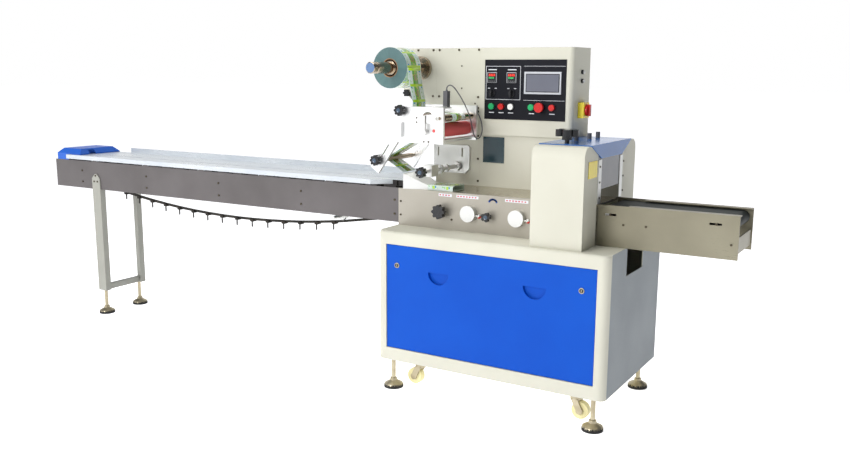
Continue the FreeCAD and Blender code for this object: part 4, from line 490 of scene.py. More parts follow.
class Piece:
    """One Blender piece, built up from closed forms in millimetres."""

    def __init__(self, name: str, body: str = "machine") -> None:
        """Starts an empty piece.

        Args:
            name: Name of the piece.
            body: Body that it rides on.
        """
        self.name = name
        self.body = body
        self.shape = bmesh.new()
        self.finishes: list[Finish] = []

    def _dress(self, made: dict[str, list[bmesh.types.BMVert]], finish: Finish) -> set[bmesh.types.BMFace]:
        """Gives the faces of a new form their finish.

        Args:
            made: What the form's operator returned.
            finish: Finish of its faces.

        Returns:
            The form's faces.
        """
        if finish not in self.finishes:
            self.finishes.append(finish)
        faces = {face for vertex in made["verts"] for face in vertex.link_faces}
        for face in faces:
            face.material_index = self.finishes.index(finish)
        return faces

    def box(self, low: Point, high: Point, finish: Finish, chamfer: float = 0.0) -> None:
        """Adds a block between two corners.

        Args:
            low: Lowest corner.
            high: Highest corner.
            finish: Its finish.
            chamfer: Rounding of its edges.
        """
        middle = [(a + b) / 2 for a, b in zip(low, high)]
        size = [b - a for a, b in zip(low, high)]
        matrix = Matrix.Translation(middle) @ Matrix.Diagonal((*size, 1.0))
        made = bmesh.ops.create_cube(self.shape, size=1.0, matrix=matrix)
        self._dress(made, finish)
        if chamfer:
            edges = {edge for vertex in made["verts"] for edge in vertex.link_edges}
            bmesh.ops.bevel(self.shape, geom=list(edges), offset=chamfer, segments=2, affect="EDGES",
                            profile=HALF)

    def rod(self, axis: str, centre: Point, radius: float, length: float, finish: Finish,
            end: float | None = None, sides: int = ROD_SIDES) -> None:
        """Adds a cylinder or cone about its middle.

        Args:
            axis: "x", "y" or "z".
            centre: Its middle.
            radius: Radius at its low end.
            length: Length along the axis.
            finish: Its finish.
            end: Radius at its high end, if another.
            sides: Number of sides.
        """
        made = bmesh.ops.create_cone(
            self.shape, cap_ends=True, segments=sides, radius1=radius,
            radius2=radius if end is None else end, depth=length,
            matrix=Matrix.Translation(centre) @ AXIS_TURN[axis])
        for face in self._dress(made, finish):
            face.smooth = len(face.verts) == 4

    def ball(self, centre: Point, radius: float, finish: Finish) -> None:
        """Adds a ball.

        Args:
            centre: Its middle.
            radius: Its radius.
            finish: Its finish.
        """
        made = bmesh.ops.create_uvsphere(self.shape, u_segments=BALL_SIDES, v_segments=BALL_RINGS,
                                         radius=radius, matrix=Matrix.Translation(centre))
        for face in self._dress(made, finish):
            face.smooth = True

    def frame(self, low: Point, high: Point, width: float, finish: Finish) -> None:
        """Adds a flat frame of four strips in the XZ plane.

        Args:
            low: Lowest corner.
            high: Highest corner.
            width: Width of the strips.
            finish: Their finish.
        """
        (x0, y0, z0), (x1, y1, z1) = low, high
        self.box((x0, y0, z0), (x1, y1, z0 + width), finish)
        self.box((x0, y0, z1 - width), (x1, y1, z1), finish)
        self.box((x0, y0, z0 + width), (x0 + width, y1, z1 - width), finish)
        self.box((x1 - width, y0, z0 + width), (x1, y1, z1 - width), finish)

    def finish(self, slot: str, replaces: Sequence[str] = ()) -> bpy.types.Object:
        """Turns the piece into an object that rides on its body.

        Args:
            slot: Not used.
            replaces: CAD nodes that it stands for.

        Returns:
            The object.
        """
        self.shape.transform(Matrix.Scale(MILLIMETRE, 4))
        mesh = bpy.data.meshes.new(self.name)
        self.shape.to_mesh(mesh)
        self.shape.free()
        materials = [finish.build() for finish in self.finishes]
        return settle(mesh, self.name, self.body, materials, replaces)


def settle(mesh: bpy.types.Mesh, name: str, body: str,
           materials: Sequence[bpy.types.Material], replaces: Sequence[str] = ()) -> bpy.types.Object:
    """Puts a mesh in the scene as a piece that rides on a body.

    Args:
        mesh: Mesh in metres, in the model's frame.
        name: Name of the piece.
        body: Body that it rides on.
        materials: Its materials, in the order of its faces' indices.
        replaces: CAD nodes that it stands for.

    Returns:
        The object.
    """
    if not mesh.materials:
        for material in materials:
            mesh.materials.append(material)
    item = bpy.data.objects.new(name, mesh)
    bpy.context.scene.collection.objects.link(item)
    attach(item, body)
    if replaces:
        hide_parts(*replaces)
    LOG.info("piece %s: %d faces", name, len(mesh.polygons))
    return item


# ------------------------------------------------------------------ repeated fittings


class Facing(Enum):
    """Turn of a screw whose own axis is +Z."""

    FRONT = (math.pi / 2, 0.0, 0.0)
    RIGHT = (0.0, math.pi / 2, 0.0)


@dataclass(frozen=True)
class ScrewSet:
    """Equal screws on one face, made with a Geometry Nodes tree.

    Attributes:
        name: Name of the piece.
        spots: Places of the screws in millimetres, from the cabinet's start, front and the floor.
        facing: Which way the heads look.
        radius: Radius of a head.
        height: Height of a head.
        finish: Finish of the heads.
        body: Body that they ride on.
        slot: Not used.
    """

    name: str
    spots: tuple[Point, ...]
    facing: Facing
    radius: float = 4.5
    height: float = 2.5
    finish: Finish = SCREW
    body: str = "machine"
    slot: str = "satin_steel"

    def build(self) -> bpy.types.Object:
        """Scatters the heads and turns them into one mesh.

        Returns:
            The finished piece.
        """
        points = bpy.data.meshes.new(f"{self.name}_points")
        points.from_pydata([mm(*spot(*place)) for place in self.spots], [], [])
        carrier = bpy.data.objects.new(f"{self.name}_carrier", points)
        bpy.context.scene.collection.objects.link(carrier)
        modifier = carrier.modifiers.new("screws", "NODES")
        modifier.node_group = screw_tree()
        values = {
            "Head Radius": self.radius * MILLIMETRE,
            "Head Height": self.height * MILLIMETRE,
            "Facing": self.facing.value,
            "Material": self.finish.build(),
        }
        for socket in modifier.node_group.interface.items_tree:
            if socket.name in values and socket.in_out == "INPUT":
                modifier[socket.identifier] = values[socket.name]
        graph = bpy.context.evaluated_depsgraph_get()
        mesh = bpy.data.meshes.new_from_object(carrier.evaluated_get(graph))
        mesh.name = self.name
        carrier.modifiers.remove(modifier)
        bpy.data.objects.remove(carrier)
        return settle(mesh, self.name, self.body, [self.finish.build()])


HEAD_SIDES = 20
HEXAGON_SIDES = 6


def screw_tree() -> bpy.types.NodeTree:
    """Builds the tree that puts a socket-head screw on every point, once.

    Returns:
        The Geometry Nodes tree.
    """
    made = bpy.data.node_groups.get("screws")
    if made:
        return made
    tree = bpy.data.node_groups.new("screws", "GeometryNodeTree")
    ports = tree.interface
    for name, kind in (("Geometry", "Geometry"), ("Head Radius", "Float"), ("Head Height", "Float"),
                       ("Facing", "Vector"), ("Material", "Material")):
        ports.new_socket(name, in_out="INPUT", socket_type=f"NodeSocket{kind}")
    ports.new_socket("Geometry", in_out="OUTPUT", socket_type="NodeSocketGeometry")
    make = tree.nodes.new
    link = tree.links.new
    maths = Maths(tree)
    given = make("NodeGroupInput")
    result = make("NodeGroupOutput")
    head = make("GeometryNodeMeshCylinder")
    head.inputs["Vertices"].default_value = HEAD_SIDES
    hexagon = make("GeometryNodeMeshCylinder")
    hexagon.inputs["Vertices"].default_value = HEXAGON_SIDES
    cutter = make("GeometryNodeMeshBoolean")
    cutter.operation = "DIFFERENCE"
    lift = make("ShaderNodeCombineXYZ")
    move = make("GeometryNodeTransform")
    place = make("GeometryNodeInstanceOnPoints")
    real = make("GeometryNodeRealizeInstances")
    colour = make("GeometryNodeSetMaterial")
    link(given.outputs["Head Radius"], head.inputs["Radius"])
    link(given.outputs["Head Height"], head.inputs["Depth"])
    link(maths.sum("MULTIPLY", given.outputs["Head Radius"], HALF), hexagon.inputs["Radius"])
    link(given.outputs["Head Height"], hexagon.inputs["Depth"])
    link(maths.sum("MULTIPLY", given.outputs["Head Height"], HALF), lift.inputs["Z"])
    link(lift.outputs[0], move.inputs["Translation"])
    link(hexagon.outputs["Mesh"], move.inputs["Geometry"])
    link(head.outputs["Mesh"], cutter.inputs["Mesh 1"])
    link(move.outputs["Geometry"], cutter.inputs["Mesh 2"])
    link(given.outputs["Geometry"], place.inputs["Points"])
    link(cutter.outputs["Mesh"], place.inputs["Instance"])
    link(given.outputs["Facing"], place.inputs["Rotation"])
    link(place.outputs["Instances"], real.inputs["Geometry"])
    link(real.outputs["Geometry"], colour.inputs["Geometry"])
    link(given.outputs["Material"], colour.inputs["Material"])
    link(colour.outputs["Geometry"], result.inputs["Geometry"])
    return tree


def on_front(front: float, *places: tuple[float, float]) -> tuple[Point, ...]:
    """Puts screws on a face that looks to the front.

    Args:
        front: The face, behind the cabinet's front.
        places: Each screw's place after the cabinet's start, and above the floor.

    Returns:
        The screws' places.
    """
    return tuple((x, front, z) for x, z in places)


FILM_PLATE_FRONT = 413.0
SIDE_FRONT = 164.0
LEG_FRONT = 158.6
FEEDER_FRONT = 53.0
OUTFEED_FRONT = 178.0
STRIP_RIGHT = 904.0
SCREWS = (
    ScrewSet("film_plate_screws", on_front(
        FILM_PLATE_FRONT, (-53, 1447), (26, 1447), (57, 1447), (156, 1447), (254, 1447), (24, 1245),
        (56, 1245), (253, 1245), (253, 1198), (256, 1076), (257, 976), (258, 878)), Facing.FRONT, 5.0, 3.0),
    ScrewSet("film_plate_plugs", on_front(FILM_PLATE_FRONT, (170, 1378), (171, 1282), (238, 1217)),
             Facing.FRONT, 3.5, 2.5),
    ScrewSet("infeed_side_screws", tuple((x, SIDE_FRONT, z) for x in (-2089, -1580, -1064, -542, -20)
                                         for z in (802, 741)), Facing.FRONT, 5.0, 3.0),
    ScrewSet("stand_screws", on_front(LEG_FRONT, (-1975, 780), (-1988, 748), (-1962, 748)),
             Facing.FRONT, 5.0, 3.0),
    ScrewSet("bed_front_screws", on_front(SIDE_FRONT, (12, 799), (12, 740), (266, 740)),
             Facing.FRONT, 4.5, 3.0),
    ScrewSet("feeder_screws", on_front(FEEDER_FRONT, (195, 1072), (217, 1072), (160, 1168), (160, 1150)),
             Facing.FRONT, 3.6, 2.5),
    ScrewSet("roller_bolt", on_front(FEEDER_FRONT, (257, 1167)), Facing.FRONT, 8.0, 4.0, BRIGHT_SCREW),
    ScrewSet("outfeed_screws", on_front(
        OUTFEED_FRONT, (1006, 785), (1093, 786), (1405, 750), (953, 820), (1349, 820)),
             Facing.FRONT, 4.5, 3.0),
    ScrewSet("guard_strip_screws", tuple((STRIP_RIGHT, y, z) for y in (184, 456) for z in (880, 940, 1000)),
             Facing.RIGHT, 4.0, 2.5),
)


# ------------------------------------------------------------------ control panel


@dataclass(frozen=True)
class Mark:
    """A printed bar about a middle line, in millimetres.

    Attributes:
        half: Half its length.
        low: Its lower side above the floor.
        high: Its upper side.
    """

    half: float
    low: float
    high: float


@dataclass(frozen=True)
class Controller:
    """Face of one temperature controller, in millimetres.

    Attributes:
        name: Name of the piece.
        left: Left side after the cabinet's start.
        front: Front of the instrument behind the cabinet's front.
        low: Lower side above the floor.
        high: Upper side.
        rim: Rim left of the glass, and under and over it.
        glass_right: Right side of the glass from the left side.
        glass: Thickness of the glass.
        chamfer: Rounding of the glass.
        rows: Finish and height of each row of digits.
        top: Upper side of the first row under the instrument's own.
        row_pitch: From one row to the next.
        digits: Digits in a row.
        digit_start: First digit from the left side.
        digit_share: Pitch of the digits as a share of their height.
        digit_gap: What is added to that pitch.
        keys: Number of keys.
        key_start: First key from the left side.
        key_pitch: From one key to the next.
        key_size: Width and height of a key.
        key_chamfer: Rounding of a key.
        key_low: Lower side of the keys over the instrument's own.
        key_rise: How far a key stands before the glass's back.
    """

    name: str
    left: float
    front: float
    low: float = 1307.0
    high: float = 1352.0
    rim: float = 2.0
    glass_right: float = 42.0
    glass: float = 0.8
    chamfer: float = 0.3
    rows: tuple[tuple[Finish, float], ...] = ((DIGIT_RED, 9.0), (DIGIT_GREEN, 6.5))
    top: float = 7.0
    row_pitch: float = 13.0
    digits: int = 4
    digit_start: float = 8.0
    digit_share: float = 0.62
    digit_gap: float = 2.4
    keys: int = 4
    key_start: float = 6.0
    key_pitch: float = 9.0
    key_size: tuple[float, float] = (6.0, 5.0)
    key_chamfer: float = 0.2
    key_low: float = 5.0
    key_rise: float = 1.4

    def build(self) -> None:
        """Adds the glass, the lit digits and the keys."""
        piece = Piece(self.name)
        face = self.front - self.glass
        piece.box(spot(self.left + self.rim, face, self.low + self.rim),
                  spot(self.left + self.glass_right, self.front, self.high - self.rim), BLACK, self.chamfer)
        for row, (finish, size) in enumerate(self.rows):
            top = self.high - self.top - row * self.row_pitch
            for index in range(self.digits):
                x = self.left + self.digit_start + index * (size * self.digit_share + self.digit_gap)
                Digit(x, top - size, size, face, finish).add(piece)
        width, height = self.key_size
        low = self.low + self.key_low
        for index in range(self.keys):
            x = self.left + self.key_start + index * self.key_pitch
            piece.box(spot(x, self.front - self.key_rise, low), spot(x + width, face, low + height),
                      GREY_PLASTIC, self.key_chamfer)
        piece.finish("screen")


@dataclass(frozen=True)
class Digit:
    """A lit 8 of bars, in millimetres.

    Attributes:
        left: Left side after the cabinet's start.
        low: Lower side above the floor.
        height: Its height.
        front: Front of the glass.
        finish: Finish of the bars.
        width_share: Width as a share of its height.
        bar_share: Width of a bar as a share of its height.
        rise: How far the bars stand before the glass.
    """

    left: float
    low: float
    height: float
    front: float
    finish: Finish
    width_share: float = 0.55
    bar_share: float = 0.13
    rise: float = 0.3

    def add(self, piece: Piece) -> None:
        """Adds the digit to a piece."""
        width = self.height * self.width_share
        bar = self.height * self.bar_share
        face = self.front - self.rise
        for level in (0.0, self.height / 2 - bar / 2, self.height - bar):
            low = self.low + level
            piece.box(spot(self.left, face, low), spot(self.left + width, self.front, low + bar), self.finish)
        for side in (0.0, width - bar):
            left = self.left + side
            piece.box(spot(left, face, self.low), spot(left + bar, self.front, self.low + self.height),
                      self.finish)


@dataclass(frozen=True)
class ControlPanel:
    """What is printed and mounted on the control panel, in millimetres.

    Attributes:
        face: Front of the printed overlay behind the cabinet's front.
        display_face: Front of the mounted instruments.
        ink: Thickness of the print.
        line: Width of the frame's lines.
        frame: Left, lower, right and upper side of the frame round the controllers.
        rule_ends: Left and right end of the two lines by the touch screen.
        rule_levels: Lower sides of those lines.
        rule_width: Their width.
        switches: Middles of the switches.
        switch_mark: Bar under a switch.
        selectors: Middles of the selectors.
        selector_step: From a selector's middle to each of its two marks.
        selector_mark: Bar beside a selector.
        heading: Bar over a controller.
        controllers: Left sides of the controllers.
        screen_rim: Left, lower, right and upper side of the screen's black rim, and its thickness.
        screen_glass: The same of its glass.
        screen_chamfer: Rounding of the rim.
    """

    face: float = 402.0
    display_face: float = 396.0
    ink: float = 0.4
    line: float = 1.6
    frame: tuple[float, ...] = (296.0, 1237.0, 459.0, 1378.0)
    rule_ends: tuple[float, float] = (474.0, 660.0)
    rule_levels: tuple[float, ...] = (1236.0, 1377.5)
    rule_width: float = 1.2
    switches: tuple[float, ...] = (325.0, 371.0, 416.0, 513.0, 606.0)
    switch_mark: Mark = Mark(12.0, 1180.0, 1183.5)
    selectors: tuple[float, ...] = (327.0, 419.0)
    selector_step: float = 16.0
    selector_mark: Mark = Mark(5.0, 1283.0, 1286.0)
    heading: Mark = Mark(20.0, 1361.0, 1365.0)
    controllers: tuple[float, ...] = (305.0, 397.0)
    screen_rim: tuple[float, ...] = (486.0, 1271.0, 637.0, 1347.0, 0.6)
    screen_glass: tuple[float, ...] = (489.0, 1274.0, 634.0, 1344.0, 0.4)
    screen_chamfer: float = 0.3

    def build(self) -> None:
        """Adds the printed lines and the instruments' faces."""
        self.print_lines()
        for index, left in enumerate(self.controllers):
            Controller(f"controller_face_{index + 1}", left, self.display_face).build()
        self.screen()

    def print_lines(self) -> None:
        """Adds the frame, the lines and the bars printed on the overlay."""
        piece = Piece("panel_print")
        left, low, right, high = self.frame
        front = self.face - self.ink
        piece.frame(spot(left, front, low), spot(right, self.face, high), self.line, WHITE_PRINT_AND_HIGHLIGHT)
        left, right = self.rule_ends
        for level in self.rule_levels:
            piece.box(spot(left, front, level), spot(right, self.face, level + self.rule_width), WHITE_PRINT_AND_HIGHLIGHT)
        for x in self.switches:
            self.bar(piece, x, self.switch_mark)
        for x in self.selectors:
            for step in (-self.selector_step, self.selector_step):
                self.bar(piece, x + step, self.selector_mark)
            self.bar(piece, x, self.heading)
        piece.finish("panel_overlay")

    def bar(self, piece: Piece, middle: float, mark: Mark) -> None:
        """Prints one bar.

        Args:
            piece: Piece to add to.
            middle: Its middle after the cabinet's start.
            mark: Its size and level.
        """
        piece.box(spot(middle - mark.half, self.face - self.ink, mark.low),
                  spot(middle + mark.half, self.face, mark.high), WHITE_PRINT_AND_HIGHLIGHT)

    def screen(self) -> None:
        """Adds the black rim and the glass of the touch screen."""
        piece = Piece("touch_screen_face")
        back = self.display_face
        for (left, low, right, high, thick), finish, chamfer in (
                (self.screen_rim, BLACK, self.screen_chamfer), (self.screen_glass, SCREEN_GLASS, 0.0)):
            piece.box(spot(left, back - thick, low), spot(right, back, high), finish, chamfer)
            back -= thick
        piece.finish("screen")


# ------------------------------------------------------------------ film


PRINT_GREEN = srgb(104, 176, 58)
PRINT_YELLOW = srgb(206, 196, 72)
PRINT_PALE = srgb(214, 232, 220)
PRINT_LEAF = srgb(160, 206, 150)
PRINT_OLIVE = srgb(150, 150, 84)
PRINT_MARGIN = srgb(226, 238, 230)
PRINT_RIM = srgb(222, 236, 230)
PRINT_BLUE = srgb(60, 148, 206)
PRINT_BRIGHT = srgb(184, 226, 44)
WOUND_DARK = srgb(42, 78, 82)
WOUND_LIGHT = srgb(92, 126, 124)
BELOW_ALL = -1.0


@dataclass(frozen=True)
class PrintedFilm:
    """Clear film with a repeating print: green panel, light sides and a bright bar at each repeat.

    Attributes:
        repeat: Length of one repeat in metres.
        bar: Share of the repeat that the bar covers.
        bar_half: Half the bar's width as a share of the film's.
        spots: Spots across the film and per metre along it.
        spot_size: Radius of a spot as a share of its cell.
        panel_half: Half the green panel's width.
        window: Start, end and half width of the panel's window.
        margin: Inner and outer side of the light margin, from the middle.
        rim: Inner side of the light rim.
        mark: Start, end, inner and outer side of the blue mark.
        ripples: Ripples of the film.
        ripple_height: Their height in metres.
        rough: Roughness.
        coat: Clear coat weight.
        see_through: Transmission weight.
    """

    repeat: float = 0.067
    bar: float = 0.17
    bar_half: float = 0.46
    spots: tuple[float, float, float] = (9.0, 110.0, 1.0)
    spot_size: float = 0.38
    panel_half: float = 0.19
    window: tuple[float, float, float] = (0.42, 0.8, 0.1)
    margin: tuple[float, float] = (0.2, 0.27)
    rim: float = 0.44
    mark: tuple[float, float, float, float] = (0.17, 0.27, 0.33, 0.43)
    ripples: float = 60.0
    ripple_height: float = 0.0004
    rough: float = 0.22
    coat: float = 0.4
    see_through: float = 0.15

    def build(self) -> bpy.types.Material:
        """Makes the material, which reads the piece's UV map: across 0 to 1, and metres along.

        Returns:
            The node-based material.
        """
        made = bpy.data.materials.get("printed_film")
        if made:
            return made
        material = bpy.data.materials.new("printed_film")
        material.use_nodes = True
        tree = material.node_tree
        maths = Maths(tree)
        shader = tree.nodes["Principled BSDF"]
        place = tree.nodes.new("ShaderNodeUVMap")
        place.uv_map = "film"
        parts = tree.nodes.new("ShaderNodeSeparateXYZ")
        tree.links.new(place.outputs["UV"], parts.inputs[0])
        across, along = parts.outputs["X"], parts.outputs["Y"]
        aside = maths.sum("ABSOLUTE", maths.sum("SUBTRACT", across, HALF))
        phase = maths.sum("FRACT", maths.sum("DIVIDE", along, self.repeat))

        stretch = tree.nodes.new("ShaderNodeMapping")
        stretch.inputs["Scale"].default_value = self.spots
        tree.links.new(place.outputs["UV"], stretch.inputs["Vector"])
        motif = tree.nodes.new("ShaderNodeTexVoronoi")
        motif.inputs["Scale"].default_value = 1.0
        tree.links.new(stretch.outputs["Vector"], motif.inputs["Vector"])
        blotch = maths.between(motif.outputs["Distance"], 0.0, self.spot_size)

        panel = maths.mix(blotch, PRINT_GREEN, PRINT_YELLOW)
        sides = maths.mix(blotch, PRINT_PALE, PRINT_LEAF)
        colour = maths.mix(maths.between(aside, BELOW_ALL, self.panel_half), sides, panel)
        start, end, half = self.window
        window = maths.sum("MULTIPLY", maths.between(phase, start, end),
                           maths.between(aside, BELOW_ALL, half))
        colour = maths.mix(window, colour, PRINT_OLIVE)
        colour = maths.mix(maths.between(aside, *self.margin), colour, PRINT_MARGIN)
        colour = maths.mix(maths.between(aside, self.rim, 1.0), colour, PRINT_RIM)
        start, end, inner, outer = self.mark
        mark = maths.sum("MULTIPLY", maths.between(phase, start, end), maths.between(aside, inner, outer))
        colour = maths.mix(mark, colour, PRINT_BLUE)
        bar = maths.sum("MULTIPLY", maths.between(phase, BELOW_ALL, self.bar),
                        maths.between(aside, BELOW_ALL, self.bar_half))
        colour = maths.mix(bar, colour, PRINT_BRIGHT)
        tree.links.new(colour, shader.inputs["Base Color"])

        ripple = tree.nodes.new("ShaderNodeTexNoise")
        ripple.inputs["Scale"].default_value = self.ripples
        tree.links.new(place.outputs["UV"], ripple.inputs["Vector"])
        bump = tree.nodes.new("ShaderNodeBump")
        bump.inputs["Distance"].default_value = self.ripple_height
        tree.links.new(ripple.outputs["Fac"], bump.inputs["Height"])
        tree.links.new(bump.outputs["Normal"], shader.inputs["Normal"])
        shader.inputs["Roughness"].default_value = self.rough
        shader.inputs["Coat Weight"].default_value = self.coat
        shader.inputs["Transmission Weight"].default_value = self.see_through
        return material


@dataclass(frozen=True)
class WoundSide:
    """Side of a roll of film: fine rings that shade from blue-grey to green-grey.

    Attributes:
        middle: Middle of the roll in the model's frame, in metres.
        rings: Rings per metre of radius.
        fans: Light and dark fans per radian.
        ring_share: How much of the shade comes from the rings.
        ring_height: Height of the rings in metres.
        rough: Roughness.
    """

    middle: Point
    rings: float = 900.0
    fans: float = 2.2
    ring_share: float = 0.45
    ring_height: float = 0.0002
    rough: float = 0.38

    def build(self) -> bpy.types.Material:
        """Makes the material.

        Returns:
            The node-based material.
        """
        material = bpy.data.materials.new("wound_side")
        material.use_nodes = True
        tree = material.node_tree
        maths = Maths(tree)
        shader = tree.nodes["Principled BSDF"]
        place = tree.nodes.new("ShaderNodeTexCoord")
        centre = tree.nodes.new("ShaderNodeMapping")
        centre.inputs["Location"].default_value = [-value for value in self.middle]
        tree.links.new(place.outputs["Object"], centre.inputs["Vector"])
        parts = tree.nodes.new("ShaderNodeSeparateXYZ")
        tree.links.new(centre.outputs["Vector"], parts.inputs[0])
        x, z = parts.outputs["X"], parts.outputs["Z"]
        radius = maths.sum("SQRT", maths.sum("ADD", maths.sum("MULTIPLY", x, x), maths.sum("MULTIPLY", z, z)))
        angle = maths.sum("ARCTAN2", z, x)
        ring = tree.nodes.new("ShaderNodeTexNoise")
        ring.noise_dimensions = "1D"
        ring.inputs["Scale"].default_value = self.rings
        tree.links.new(radius, ring.inputs["W"])
        fan = tree.nodes.new("ShaderNodeTexNoise")
        fan.noise_dimensions = "1D"
        fan.inputs["Scale"].default_value = self.fans
        tree.links.new(angle, fan.inputs["W"])
        level = maths.sum("ADD", maths.sum("MULTIPLY", ring.outputs["Fac"], self.ring_share),
                          maths.sum("MULTIPLY", fan.outputs["Fac"], 1.0 - self.ring_share))
        tree.links.new(maths.mix(level, WOUND_DARK, WOUND_LIGHT), shader.inputs["Base Color"])
        bump = tree.nodes.new("ShaderNodeBump")
        bump.inputs["Distance"].default_value = self.ring_height
        tree.links.new(ring.outputs["Fac"], bump.inputs["Height"])
        tree.links.new(bump.outputs["Normal"], shader.inputs["Normal"])
        shader.inputs["Roughness"].default_value = self.rough
        return material


@dataclass(frozen=True)
class Wrap:
    """A stretch of film that lies round a roller, in millimetres.

    Attributes:
        centre: Middle of the roller after the cabinet's start, and above the floor.
        radius: Radius of the film's middle.
        first: Angle where the film meets the roller, in degrees.
        last: Angle where it leaves.
        steps: Number of straight steps.
    """

    centre: tuple[float, float]
    radius: float
    first: float
    last: float
    steps: int

    def points(self) -> list[tuple[float, float]]:
        """Works the stretch's points out.

        Returns:
            The points in the XZ plane.
        """
        angles = [math.radians(self.first + (self.last - self.first) * index / self.steps)
                  for index in range(self.steps + 1)]
        x, z = self.centre
        return [(x + self.radius * math.cos(a), z + self.radius * math.sin(a)) for a in angles]


PRINT_MATERIAL, SIDE_MATERIAL, CORE_MATERIAL = range(3)
ROLL_MATERIALS = {3: PRINT_MATERIAL, 0: CORE_MATERIAL, 6: CORE_MATERIAL, 7: CORE_MATERIAL}
SHARP_TURN = 0.6
WELD = 0.00001


